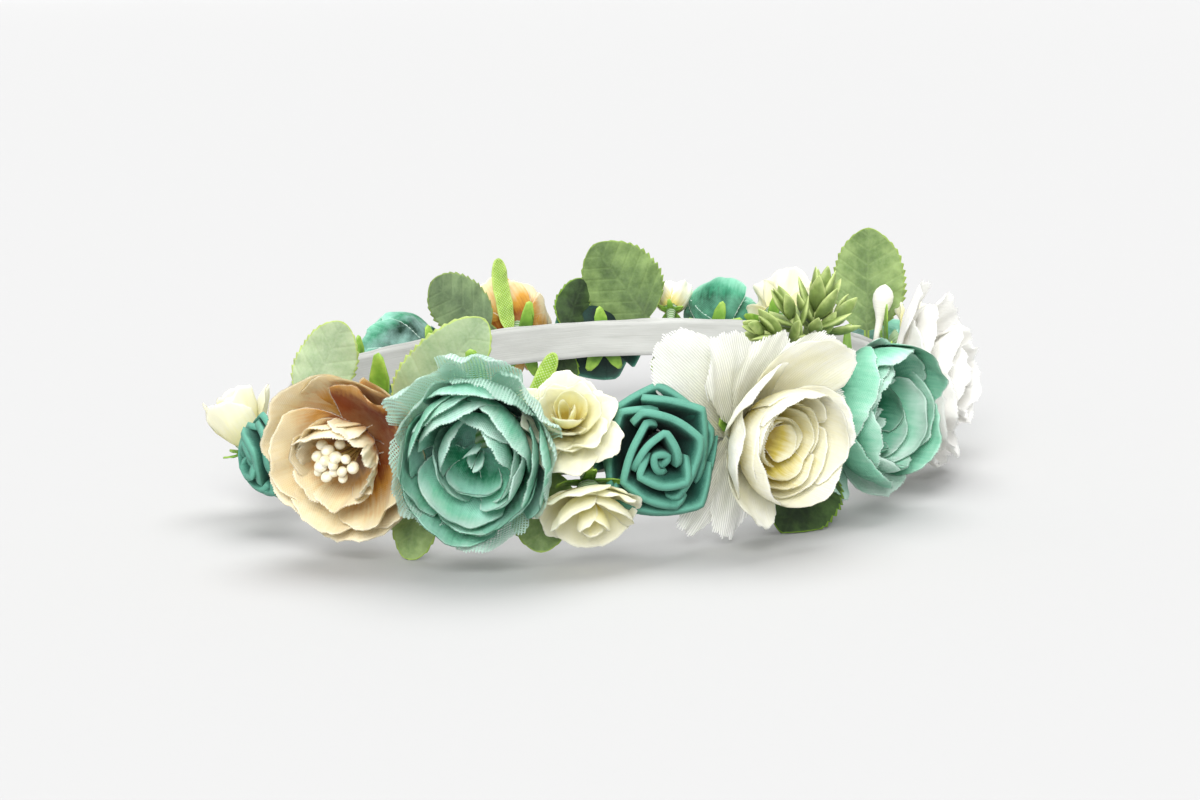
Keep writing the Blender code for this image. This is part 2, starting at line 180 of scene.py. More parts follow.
def petal_cloth(name, heart, base, body, rim, translucent=0.30, weave=0.7, weave_depth=0.12,
                rib=0.0, gauze=0.0, sheer=0.0, fray=0.35, wash=None, wash_share=0.4):
    """Stiffened polyester petal cloth, dyed darker at the foot and paler at the rim: matte, lets light
    through, shows its threads, and frays at the cut edge. The dark foot is partly painted shade, deepened
    where petals sit deep in the flower, and the pale rim is partly a painted highlight. Real threads are
    0.2 to 0.3 mm apart and are drawn two or three times as coarse, so that they can be seen."""
    material, tree = new_material(name)
    uv = node(tree, "ShaderNodeUVMap", CLOTH_MAP)
    place = node(tree, "ShaderNodeTexCoord", output="Object")
    tone, edge, dye = [node(tree, ATTRIBUTE, value, output="Fac") for value in (TONE, EDGE, DYE_AND_SHADE)]
    # The dye is deepest at the foot, where painted shade darkens it further, with soft blotches and with
    # streaks that run up the petal
    blotch = node(tree, NOISE, None, place, Scale=170.0, Detail=3.0, Roughness=0.6)
    drawn_out = node(tree, "ShaderNodeMapping", None, uv, Scale=(1.1, 0.12, 1.0))
    streak = node(tree, NOISE, None, drawn_out, Scale=1.0, Detail=3.0)
    uneven = node(tree, MATH, ADD, blotch, streak)
    depth = node(tree, MATH, ADD, tone, dye)
    level = node(tree, MATH, MULTIPLY_ADD, uneven, 0.34, depth)
    level = node(tree, MATH, SUBTRACT, level, 0.34)
    colour = node(tree, RAMP, {"stops": ((0.06, heart), (0.28, base), (0.58, body), (0.97, rim))}, level)
    if wash:
        # A second dye, washed on in pools of 5 to 10 mm
        pool = node(tree, NOISE, None, place, Scale=95.0, Detail=4.0, Roughness=0.6)
        stops = ((0.40, (0, 0, 0, 1)), (0.66, (wash_share, wash_share, wash_share, 1)))
        pooled = node(tree, RAMP, {"stops": stops}, pool)
        colour = node(tree, MIX, MIX_COLOUR, pooled, i6=colour, i7=wash, output=2)
    # A paler cut edge, widened into a painted highlight along the rim
    near_rim = node(tree, MATH, LESS_THAN, edge, 0.42)
    rim_share = node(tree, MATH, MULTIPLY, near_rim, 0.65)
    colour = node(tree, MIX, MIX_COLOUR, rim_share, i6=colour, i7=rim, output=2)
    # Warp and weft
    x, y, _ = node(tree, "ShaderNodeSeparateXYZ", None, uv, output=None)
    across, along = threads(tree, (x, y), weave)
    height = node(tree, MATH, MULTIPLY, across, along)
    if rib:
        faint = node(tree, MATH, MULTIPLY, height, 0.3)
        height = node(tree, MATH, MULTIPLY_ADD, across, rib, faint)
    relief = node(tree, MATH, MULTIPLY_ADD, streak, 2.2, height)
    bump = node(tree, BUMP, Height=relief, Strength=1.0, Distance=weave_depth * MM)
    surface = node(tree, PRINCIPLED, Base_Color=colour, Normal=bump, Roughness=0.82,
                   Specular_IOR_Level=0.25, Sheen_Weight=0.15, Sheen_Roughness=0.5)
    through = node(tree, "ShaderNodeBsdfTranslucent", Color=colour, Normal=bump)
    cloth = node(tree, "ShaderNodeMixShader", None, translucent, surface, through)
    # Every thread ends at its own distance from the cut
    strand = node(tree, MATH, MULTIPLY, x, 2 / weave)
    thread = node(tree, MATH, {"operation": "FLOOR"}, strand)
    length = node(tree, "ShaderNodeTexWhiteNoise", {"noise_dimensions": "1D"}, W=thread)
    gap = node(tree, MATH, LESS_THAN, across, 0.1)
    shortfall = node(tree, MATH, MULTIPLY_ADD, gap, 0.8, length)
    loss = node(tree, MATH, MULTIPLY, shortfall, fray / 1.8)
    solid = node(tree, MATH, GREATER_THAN, edge, loss)
    if gauze:
        # Gauze is open between its threads
        nearest = node(tree, MATH, MAXIMUM, across, along)
        thread_here = node(tree, MATH, GREATER_THAN, nearest, 1 - 2 * gauze)
        solid = node(tree, MATH, MULTIPLY, solid, thread_here)
    if sheer:
        # Sheer cloth is thin between its ribs, so what is behind shows faintly
        thin = node(tree, MATH, MULTIPLY_ADD, across, sheer / 2, 1 - sheer / 2)
        solid = node(tree, MATH, MULTIPLY, solid, thin)
    clear = node(tree, "ShaderNodeBsdfTransparent")
    cut = node(tree, "ShaderNodeMixShader", None, solid, clear, cloth)
    return with_surface(material, cut)


def foam_sheet(name, dark, body, light):
    """Closed-cell craft foam, die-cut and heat-curled: matte, thick and powdery, with painted shade deep in
    the loops and painted light along the top rims.
    """
    material, tree = new_material(name)
    place = node(tree, "ShaderNodeTexCoord", output="Object")
    tone = node(tree, ATTRIBUTE, TONE, output="Fac")
    # Cells are about 0.1 mm and are drawn four times as coarse
    cells = node(tree, NOISE, None, place, Scale=2600.0, Detail=2.0)
    patches = node(tree, NOISE, None, place, Scale=260.0, Detail=3.0)
    speckle = node(tree, MATH, MULTIPLY_ADD, cells, 0.22, -0.11)
    shade = node(tree, MATH, MULTIPLY_ADD, patches, 0.45, -0.22)
    grain = node(tree, MATH, ADD, speckle, shade)
    level = node(tree, MATH, ADD, tone, grain)
    colour = node(tree, RAMP, {"stops": ((0.1, dark), (0.6, body), (1.0, light))}, level)
    relief = node(tree, MATH, MULTIPLY_ADD, patches, 2.0, cells)
    bump = node(tree, BUMP, Height=relief, Strength=0.7, Distance=0.14 * MM)
    surface = node(tree, PRINCIPLED, Base_Color=colour, Normal=bump, Roughness=0.72,
                   Specular_IOR_Level=0.35, Sheen_Weight=0.04)
    return with_surface(material, surface)


def leaf_cloth(name, deep, body, light, rim, frost=0.0, frost_colour="#c9d6bf", weave=0.0):
    """Printed polyester leaf, pressed with veins: matte, mottled, with a paler cut rim."""
    material, tree = new_material(name)
    uv = node(tree, "ShaderNodeUVMap", CLOTH_MAP)
    place = node(tree, "ShaderNodeTexCoord", output="Object")
    tone, edge = [node(tree, ATTRIBUTE, value, output="Fac") for value in (TONE, EDGE)]
    x, y, _ = node(tree, "ShaderNodeSeparateXYZ", None, uv, output=None)
    # Side veins climb from the midrib towards the rim
    side = node(tree, MATH, {"operation": "ABSOLUTE"}, x)
    rising = node(tree, MATH, MULTIPLY_ADD, side, -0.65, y)
    turn = node(tree, MATH, MULTIPLY, rising, 2 * math.pi / VEIN_SPACING)
    wave = node(tree, MATH, SINE, turn)
    crest = node(tree, MATH, MULTIPLY_ADD, wave, 0.5, 0.5)
    side_vein = node(tree, MATH, {"operation": "POWER"}, crest, 9.0)
    midrib = node(tree, MATH, MULTIPLY_ADD, side, -1.5, 1.0)
    midrib = node(tree, MATH, MAXIMUM, midrib, 0.0)
    vein = node(tree, MATH, MAXIMUM, side_vein, midrib)
    mottle = node(tree, NOISE, None, place, Scale=230.0, Detail=4.0, Roughness=0.62)
    grain = node(tree, NOISE, None, place, Scale=1500.0, Detail=2.0)
    level = node(tree, MATH, MULTIPLY_ADD, mottle, 1.1, tone)
    level = node(tree, MATH, SUBTRACT, level, 0.55)
    colour = node(tree, RAMP, {"stops": ((0.08, deep), (0.5, body), (0.95, light))}, level)
    vein_share = node(tree, MATH, MULTIPLY, vein, 0.2)
    colour = node(tree, MIX, MIX_COLOUR, vein_share, i6=colour, i7=light, output=2)
    if frost:
        # A thin white print on top, thickest where the cloth stands proud
        powder = node(tree, MATH, ADD, grain, mottle)
        powder = node(tree, MATH, MULTIPLY, powder, frost)
        colour = node(tree, MIX, MIX_COLOUR, powder, i6=colour, i7=frost_colour, output=2)
    if weave:
        # An open weave of pale and green threads
        across, along = threads(tree, (x, y), weave)
        crossing = node(tree, MATH, MULTIPLY, across, along)
        knot = node(tree, MATH, GREATER_THAN, crossing, 0.25)
        knot = node(tree, MATH, MULTIPLY, knot, 0.55)
        colour = node(tree, MIX, MIX_COLOUR, knot, i6=colour, i7="#eaf3cc", output=2)
    near_rim = node(tree, MATH, LESS_THAN, edge, 0.5)
    rim_share = node(tree, MATH, MULTIPLY, near_rim, 0.7)
    colour = node(tree, MIX, MIX_COLOUR, rim_share, i6=colour, i7=rim, output=2)
    sunk = node(tree, MATH, MULTIPLY, vein, -1.0)
    relief = node(tree, MATH, MULTIPLY_ADD, grain, 0.35, sunk)
    bump = node(tree, BUMP, Height=relief, Strength=0.8, Distance=0.13 * MM)
    surface = node(tree, PRINCIPLED, Base_Color=colour, Normal=bump, Roughness=0.7,
                   Specular_IOR_Level=0.3, Sheen_Weight=0.1)
    through = node(tree, "ShaderNodeBsdfTranslucent", Color=colour, Normal=bump)
    leaf = node(tree, "ShaderNodeMixShader", None, 0.28, surface, through)
    return with_surface(material, leaf)


def soft_plastic(name, deep, body, light, roughness=0.5):
    """Moulded soft plastic, a little waxy and frosted on the high parts; waxed thread looks the same."""
    material, tree = new_material(name)
    place = node(tree, "ShaderNodeTexCoord", output="Object")
    tone = node(tree, ATTRIBUTE, TONE, output="Fac")
    mottle = node(tree, NOISE, None, place, Scale=420.0, Detail=3.0)
    grain = node(tree, NOISE, None, place, Scale=2400.0, Detail=2.0)
    level = node(tree, MATH, MULTIPLY_ADD, mottle, 0.7, tone)
    level = node(tree, MATH, SUBTRACT, level, 0.35)
    colour = node(tree, RAMP, {"stops": ((0.05, deep), (0.5, body), (0.95, light))}, level)
    bump = node(tree, BUMP, Height=grain, Strength=0.5, Distance=0.08 * MM)
    surface = node(tree, PRINCIPLED, Base_Color=colour, Normal=bump, Roughness=roughness,
                   Specular_IOR_Level=0.4, Subsurface_Weight=0.08,
                   Subsurface_Radius=(0.002, 0.003, 0.001))
    return with_surface(material, surface)


def satin_ribbon(name, shadow="#a9aaa5", light="#c1c2be"):
    """Polyester satin: long floats run along the ribbon, so it shines softly across its length."""
    material, tree = new_material(name)
    uv = node(tree, "ShaderNodeUVMap", CLOTH_MAP)
    # Floats are 0.1 mm wide and are drawn twice as wide
    lengthwise = node(tree, "ShaderNodeMapping", None, uv, Scale=(0.05, 4.5, 1.0))
    floats = node(tree, NOISE, None, lengthwise, Scale=1.0, Detail=3.0)
    broad = node(tree, "ShaderNodeMapping", None, uv, Scale=(0.06, 0.25, 1.0))
    crease = node(tree, NOISE, None, broad, Scale=1.0, Detail=3.0)
    both = node(tree, MATH, ADD, floats, crease)
    level = node(tree, MATH, MULTIPLY, both, 0.5)
    colour = node(tree, RAMP, {"stops": ((0.30, shadow), (0.62, light))}, level)
    relief = node(tree, MATH, MULTIPLY_ADD, crease, 2.5, floats)
    bump = node(tree, BUMP, Height=relief, Strength=0.6, Distance=0.12 * MM)
    rough = node(tree, MATH, MULTIPLY_ADD, floats, 0.2, 0.34)
    surface = node(tree, PRINCIPLED, Base_Color=colour, Normal=bump, Roughness=rough,
                   Specular_IOR_Level=0.4, Sheen_Weight=0.2)
    return with_surface(material, surface)


def wrapped_paper(name, paper):
    """Crepe paper or floral tape wound on a wire: dull, with the turns of the tape showing."""
    material, tree = new_material(name)
    place = node(tree, "ShaderNodeTexCoord", output="Object")
    turns = node(tree, "ShaderNodeTexWave", {"bands_direction": "DIAGONAL"}, place, Scale=420.0,
                 Distortion=2.0, Detail=2.0, output=1)
    share = node(tree, MATH, MULTIPLY, turns, 0.35)
    colour = node(tree, MIX, MIX_COLOUR, share, i6=paper, i7="#f2f2ea", output=2)
    bump = node(tree, BUMP, Height=turns, Strength=0.5, Distance=0.1 * MM)
    surface = node(tree, PRINCIPLED, Base_Color=colour, Normal=bump, Roughness=0.85)
    return with_surface(material, surface)


def pearl_lacquer(name):
    """Stamen tips dipped in pearl lacquer: cream, glossy and faintly nacreous."""
    material, tree = new_material(name)
    place = node(tree, "ShaderNodeTexCoord", output="Object")
    patches = node(tree, NOISE, None, place, Scale=500.0, Detail=2.0)
    colour = node(tree, RAMP, {"stops": ((0.35, "#e6dcbb"), (0.65, "#fbf6e4"))}, patches)
    surface = node(tree, PRINCIPLED, Base_Color=colour, Roughness=0.3, Coat_Weight=0.5,
                   Coat_Roughness=0.2, Subsurface_Weight=0.15,
                   Subsurface_Radius=(0.001, 0.0008, 0.0006))
    return with_surface(material, surface)


# Petal cloths: colours from the foot of the petal to its rim, light let through, thread spacing (mm)
# and relief (mm)
MATERIALS = {
    "peach": petal_cloth("peach_petal_cloth", "#9c4a06", "#dfa440", "#f3e6bc", "#fcf7e2", 0.24, 0.6, 0.03,
                         fray=0.3, wash="#efcf90", wash_share=0.3),
    "peach_mid": petal_cloth("peach_inner_petal_cloth", "#8a4206", "#dca03c", "#f4e3b4", "#fdf8e6",
                             0.22, 0.6, 0.04, fray=0.45, wash="#f8ecce"),
    "teal": petal_cloth("teal_petal_cloth", "#052e1e", "#23805a", "#80cbab", "#def6ea", 0.14, 0.7, 0.05,
                        fray=0.45, wash="#b4e6da", wash_share=0.55),
    "teal_gauze": petal_cloth("teal_gauze", "#3c9468", "#86caa8", "#bfe6d6", "#e6f6ee", 0.35, 0.78, 0.05,
                              gauze=0.27, fray=0.8, wash="#d4efe2"),
    "aqua": petal_cloth("aqua_petal_cloth", "#053c24", "#2f8a66", "#90d0b4", "#dff5ea", 0.16, 0.7, 0.04,
                        fray=0.4, wash="#7ccaa8", wash_share=0.5),
    "cream": petal_cloth("cream_petal_paper", "#efe07c", "#f9f4bc", "#fcfade", "#fffef0", 0.30, 0.5, 0.02,
                         fray=0.06),
    "ivory": petal_cloth("ivory_petal_cloth", "#a88c0a", "#dccb5a", "#fbf8e0", "#fffffa", 0.25, 0.7, 0.03,
                         rib=0.5, wash="#f4f1c4", wash_share=0.3),
    "ivory_outer": petal_cloth("ivory_sheer_ribbed_cloth", "#dcdaa0", "#eceada", "#f4f4ee", "#ffffff",
                               0.32, 0.62, 0.03, rib=0.8, sheer=0.32, fray=1.3, wash="#eef2e0"),
    "white": petal_cloth("white_petal_cloth", "#eee9be", "#f9f7e6", "#fefdf8", "#fffffd", 0.32, 0.7, 0.04,
                         fray=0.6),
    "foam": foam_sheet("teal_craft_foam", "#05221c", "#1f5748", "#5c9c88"),
    "leaf": leaf_cloth("green_leaf_cloth", "#35501c", "#6d8e3c", "#a9c470", "#b4d064", 0.18),
    "deep_leaf": leaf_cloth("deep_green_leaf_cloth", "#2a4214", "#55752e", "#8aa856", "#a4c45a", 0.12),
    # A green leaf cloth darkened almost to black as painted shade, for leaves that lie in shade under the
    # flowers
    "dark_leaf": leaf_cloth("dark_leaf_cloth", "#0e1a0a", "#243a1a", "#4a6a2e", "#8db63a", 0.03),
    "pale_leaf": leaf_cloth("frosted_pale_leaf_cloth", "#5c8446", "#8fb072", "#bcd294", "#cbe072", 0.45,
                            "#d2dac6"),
    "bright_leaf": leaf_cloth("bright_woven_leaf_cloth", "#6c981c", "#9cc63a", "#c0dc66", "#d3ea84", 0.0,
                              weave=0.9),
    "frosted_leaf": leaf_cloth("sage_leaf_cloth", "#304a2a", "#5a7746", "#84a066", "#9ab45e", 0.16),
    "sprig": soft_plastic("frosted_succulent_plastic", "#384c20", "#7c914c", "#bfce86", 0.55),
    "calyx": soft_plastic("green_calyx_plastic", "#38591a", "#6d9a32", "#a9ca5a", 0.5),
    "satin": satin_ribbon("white_satin_ribbon"),
    "bud_satin": satin_ribbon("ivory_bud_satin", "#dcdccf", "#f6f5ea"),
    "wire": wrapped_paper("white_wire_paper", "#d8d8d0"),
    "tape": wrapped_paper("green_stem_tape", "#4f7a34"),
    "pearl": pearl_lacquer("pearl_lacquer"),
    "filament": soft_plastic("cream_stamen_thread", "#cdb87c", "#e9dcb2", "#f4ecd0", 0.6),
}


# ---------------------------------------------------------------- meshes built from grids

class Sheet:
    """Gathers grids of points into one mesh, with a UV map in millimetres and named point values."""

    def __init__(self):
        self.points = []
        self.faces = []
        self.uv = []
        # Point values: tone from foot to tip, distance from the cut edge (mm), and a dye offset that also
        # carries painted shade
        self.values = {"tone": [], "edge_mm": [], "dye": []}
        self.count = 0

    def add_grid(self, points, uv, tone, edge, dye=0.0, wrap=False):
        """points is rows x columns x 3; wrap joins the last column to the first."""
        rows, columns = points.shape[:2]
        start = self.count
        self.points.append(points.reshape(-1, 3))
        self.uv.append(uv.reshape(-1, 2))
        self.values["tone"].append(np.broadcast_to(tone, (rows, columns)).reshape(-1))
        self.values["edge_mm"].append(np.broadcast_to(edge, (rows, columns)).reshape(-1))
        self.values["dye"].append(np.full(rows * columns, dye))
        self.count += rows * columns
        index = start + np.arange(rows * columns).reshape(rows, columns)
        if wrap:
            index = np.concatenate([index, index[:, :1]], axis=1)
        quads = np.stack([index[:-1, :-1], index[:-1, 1:], index[1:, 1:], index[1:, :-1]], axis=-1)
        self.faces.append(quads.reshape(-1, 4))

    def add_tube(self, path, widths, heights, face, sides=8, tone_from=0.2, tone_to=0.9, dye=0.0):
        """A closed tube along a path, with its half width and half height at every point of the path."""
        path = np.array([list(point) for point in path], float)
        ahead = np.gradient(path, axis=0)
        ahead /= np.linalg.norm(ahead, axis=1)[:, None]
        side = np.cross(ahead, np.array(face, float))
        side /= np.linalg.norm(side, axis=1)[:, None]
        top = np.cross(side, ahead)
        turn = np.linspace(0, 2 * math.pi, sides, endpoint=False)
        wide = np.array(widths, float)[:, None, None]
        high = np.array(heights, float)[:, None, None]
        points = path[:, None, :] + side[:, None, :] * np.cos(turn)[None, :, None] * wide
        points = points + top[:, None, :] * np.sin(turn)[None, :, None] * high
        run = np.concatenate([[0], np.cumsum(np.linalg.norm(np.diff(path, axis=0), axis=1))])
        round_mm = turn[None, :] * np.array(widths, float)[:, None] / MM
        uv = np.stack([round_mm, np.broadcast_to(run[:, None] / MM, round_mm.shape)], axis=-1)
        share = (run / run[-1])[:, None] * np.ones((1, sides))
        rim = np.abs(np.cos(turn))[None, :] ** 6 * 0.35
        self.add_grid(points, uv, tone_from + (tone_to - tone_from) * share + rim, 5.0, dye, wrap=True)

    def shift(self, right, up):
        """Slide what is gathered so far off the flower's axis."""
        self.points = [grid + np.array([right, up, 0.0]) for grid in self.points]

    def build(self, name, material, place=None, thickness=0.0, offset=0.0, weld=False, outside=False):
        points = np.concatenate(self.points)
        if place is not None:
            turned = np.array(place.to_3x3())
            points = points @ turned.T + np.array(place.translation)
        if outside:
            # What would cut the ribbon lies against it instead
            clear = BAND_DEPTH + RIBBON_GAP
            share = np.hypot(points[:, 0] / (HALF_LENGTH + clear), points[:, 1] / (HALF_WIDTH + clear))
            points[:, :2] /= np.minimum(share, 1.0)[:, None]
        # Nothing hangs through the table: what would reach it lies flat on it
        points[:, 2] = np.maximum(points[:, 2], TABLE_GAP)
        faces = np.concatenate(self.faces)
        mesh = bpy.data.meshes.new(name)
        mesh.vertices.add(len(points))
        mesh.vertices.foreach_set("co", points.astype(np.float32).reshape(-1))
        mesh.loops.add(faces.size)
        mesh.loops.foreach_set("vertex_index", faces.astype(np.int32).reshape(-1))
        mesh.polygons.add(len(faces))
        mesh.polygons.foreach_set("loop_start", np.arange(0, faces.size, 4, dtype=np.int32))
        mesh.update(calc_edges=True)
        layer = mesh.uv_layers.new(name="cloth_mm")
        corners = np.concatenate(self.uv)[faces.reshape(-1)]
        layer.data.foreach_set("uv", corners.astype(np.float32).reshape(-1))
        for key, parts in self.values.items():
            data = mesh.attributes.new(key, "FLOAT", "POINT")
            data.data.foreach_set("value", np.concatenate(parts).astype(np.float32))
        if weld:
            shell = bmesh.new()
            shell.from_mesh(mesh)
            bmesh.ops.remove_doubles(shell, verts=shell.verts, dist=0.002 * MM)
            bmesh.ops.recalc_face_normals(shell, faces=shell.faces)
            shell.to_mesh(mesh)
            shell.free()
        mesh.polygons.foreach_set("use_smooth", np.ones(len(mesh.polygons), dtype=bool))
        item = add_object(name, mesh)
        mesh.materials.append(MATERIALS[material])
        if thickness:
            solid = item.modifiers.new("cloth_thickness", "SOLIDIFY")
            solid.thickness = thickness
            solid.offset = offset
        return item


def hold(item, slot, *replaced):
    """Tie a finished piece to the crown's body and hide the solids it replaces. slot, its finish, is not
    used.
    """
    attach(item, "root")
    if replaced:
        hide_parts(*replaced)
    return item


def hoop_axes(angle):
    """Along-hoop and outward directions at an angle round the oval (degrees)."""
    turn = math.radians(angle)
    outward = Vector((math.cos(turn) / HALF_LENGTH, math.sin(turn) / HALF_WIDTH, 0)).normalized()
    return Vector((-outward.y, outward.x, 0)), outward


def hoop_point(angle, reach, height):
    """A point by its angle, its distance outside the opening and its height above the table."""
    turn = math.radians(angle)
    edge = Vector((HALF_LENGTH * math.cos(turn), HALF_WIDTH * math.sin(turn), height))
    return edge + hoop_axes(angle)[1] * reach


def hoop_angle(point):
    """The angle round the oval whose outward line passes through a point outside it."""
    angle = math.degrees(math.atan2(point.y / HALF_WIDTH, point.x / HALF_LENGTH))
    for _ in range(12):
        along, outward = hoop_axes(angle)
        gap = point - hoop_point(angle, 0, point.z)
        angle += math.degrees(gap.dot(along) / (HALF_LENGTH + gap.dot(outward)))
    return angle


# ---------------------------------------------------------------- petals

def petal(sheet, rng, radius, angle, length, width, rise, fall, foot=0.0, base=0.0, hug=1.0, dish=0.0,
          narrow=0.4, tip=0.28, curl=0.0, ruffle=0.0, crumple=0.0, dye=0.0, rows=16, columns=15,
          tone_from=0.0, tone_to=1.0, tone_power=1.0, ragged=0.012):
    """A petal that starts near the flower's axis and grows outward and forward.

    length, width, foot, base and curl are shares of the flower's radius; ruffle and crumple, the
    heights of its waves, are millimetres. angle is its place round the axis, rise and fall the slope of
    its middle line above the face plane at the foot and the tip (degrees). foot and base are the
    distance from the axis and the height where it starts. hug 1 wraps it round the axis, less lets its
    sides stand off; dish curves it across by that much more (1/m). narrow is the width of its foot over
    its full width, tip how far the corners are rounded off, curl how far the rim rolls back, ragged how
    uneven the cut is. The tone runs from the foot to the tip, later where its power is high.
    """
    turn = math.radians(angle)
    length, width, foot, base, curl = (share * radius for share in (length, width, foot, base, curl))
    u = np.linspace(-1, 1, columns)[None, :]
    v = np.linspace(0, 1, rows)[:, None]
    phase = [rng.uniform(0, 2 * math.pi) for _ in range(8)]
    # The middle line, a curve whose slope changes evenly
    steps = np.linspace(0, 1, MIDDLE_LINE_POINTS)
    slope = np.radians(rise + (fall - rise) * steps)
    between = (slope[1:] + slope[:-1]) / 2
    step_length = length / (MIDDLE_LINE_POINTS - 1)
    out_path = np.concatenate([[0], np.cumsum(np.cos(between))]) * step_length + foot
    up_path = np.concatenate([[0], np.cumsum(np.sin(between))]) * step_length + base
    snips = np.sin(u * 8 + phase[6]) + 0.7 * np.sin(u * 17 + phase[7]) + 0.5 * np.sin(u * 29 + phase[0])
    reach = v * (1 - tip * np.abs(u) ** 2.4 + ragged * snips)
    out = np.interp(reach, steps, out_path)
    up = np.interp(reach, steps, up_path)
    lean = np.interp(reach, steps, slope)
    # The cross-section, an arc that is nowhere bent round more than 1.45 radians
    half = width / 2 * (narrow + (1 - narrow) * np.sin(np.clip(reach / 0.62, 0, 1) * math.pi / 2) ** 1.1)
    side = u * half
    curve = hug * np.clip(np.sin(lean), 0, 1) / np.maximum(out, 0.6 * MM) + dish
    curve = np.minimum(np.maximum(curve, 1e-3), 1.45 / np.maximum(half, 1e-5))
    bow = side * curve
    lateral = np.sin(bow) / curve
    inward = (1 - np.cos(bow)) / curve
    # Waves along the rim, creases over the blade, and the rim rolled back
    waves = np.sin(u * 5.2 + phase[0]) + 0.6 * np.sin(u * 9.0 + phase[1] + v * 2)
    crease = (np.sin(u * 7 + v * 5 + phase[2]) + np.sin(u * 3 - v * 9 + phase[3])
              + 0.7 * np.sin(u * 13 + v * 11 + phase[4]) + 0.5 * np.sin(v * 19 - u * 6 + phase[5]))
    tip_roll = np.clip((reach - 0.62) / 0.38, 0, 1) ** 2
    side_roll = 0.6 * np.clip((np.abs(u) - 0.55) / 0.45, 0, 1) ** 2 * reach
    lift = ruffle * MM * waves * reach ** 2.5 + crumple * MM * crease * (0.25 + reach)
    lift = lift - curl * (tip_roll + side_roll)
    radial = out - (inward + lift) * np.sin(lean)
    height = up + (inward + lift) * np.cos(lean)
    cosine, sine = math.cos(turn), math.sin(turn)
    x = radial * cosine - lateral * sine
    y = radial * sine + lateral * cosine
    rim = np.minimum((1 - np.abs(u)) * half, (1 - v) * length * 0.9) / MM
    # The map is slid along by the angle, so that no two petals show the same cloth
    uv = np.stack([side / MM + turn * 40, reach * length / MM], axis=-1)
    ripe = np.clip(0.8 * reach + 0.2 * np.abs(u) * reach, 0, 1.2) ** tone_power
    tone = tone_from + (tone_to - tone_from) * ripe
    sheet.add_grid(np.stack([x, y, height], axis=-1), uv, tone, rim, dye)


def each_petal(sheet, rng, radius, places, **shape):
    """Single petals, each with its angle, length, width, rise, fall and dye offset, which also carries
    painted shade.
    """
    for angle, length, width, rise, fall, dye in places:
        petal(sheet, rng, radius, angle, length, width, rise, fall, dye=dye, **shape)


def ring(sheet, rng, radius, count, start, sway=0.12, **shape):
    """Petals evenly round the axis, each a little different and up to sway (radians) off its place."""
    for index in range(count):
        angle = start + 360 * index / count + math.degrees(rng.uniform(-sway, sway))
        own = dict(shape)
        own["length"] *= rng.uniform(0.93, 1.07)
        own["width"] *= rng.uniform(0.93, 1.08)
        own["rise"] += rng.uniform(-4, 4)
        own["fall"] += rng.uniform(-7, 7)
        own["dye"] = own.get("dye", 0) + rng.uniform(-0.07, 0.07)
        petal(sheet, rng, radius, angle, **own)


def globe(sheet, rng, radius, count, start, size, close, base, width, **shape):
    """A ring of petals on a sphere of a share of the radius, closing to the given angle from its pole."""
    ring(sheet, rng, radius, count, start, length=size * math.radians(close), width=width, rise=0,
         fall=close, base=base, **shape)


def flower_frame(name, yaw, pitch):
    """A frame at the middle of a flower's solid, Z along the way that it faces, Y upward."""
    low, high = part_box(name)
    middle = (low + high) / 2
    outward = hoop_axes(hoop_angle(middle))[1]
    level = Matrix.Rotation(math.radians(yaw), 3, "Z") @ outward
    forward = level * math.cos(math.radians(pitch)) + UP * math.sin(math.radians(pitch))
    side = UP.cross(forward).normalized()
    top = forward.cross(side)
    return Matrix.Translation(middle) @ Matrix((side, top, forward)).transposed().to_4x4()


def solid_radius(name):
    low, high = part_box(name)
    return max(high - low) / 2


# ---------------------------------------------------------------- kinds of flower
# Petals are listed as angle, length, width, rise, fall and dye offset, which also carries painted shade
# (see petal)

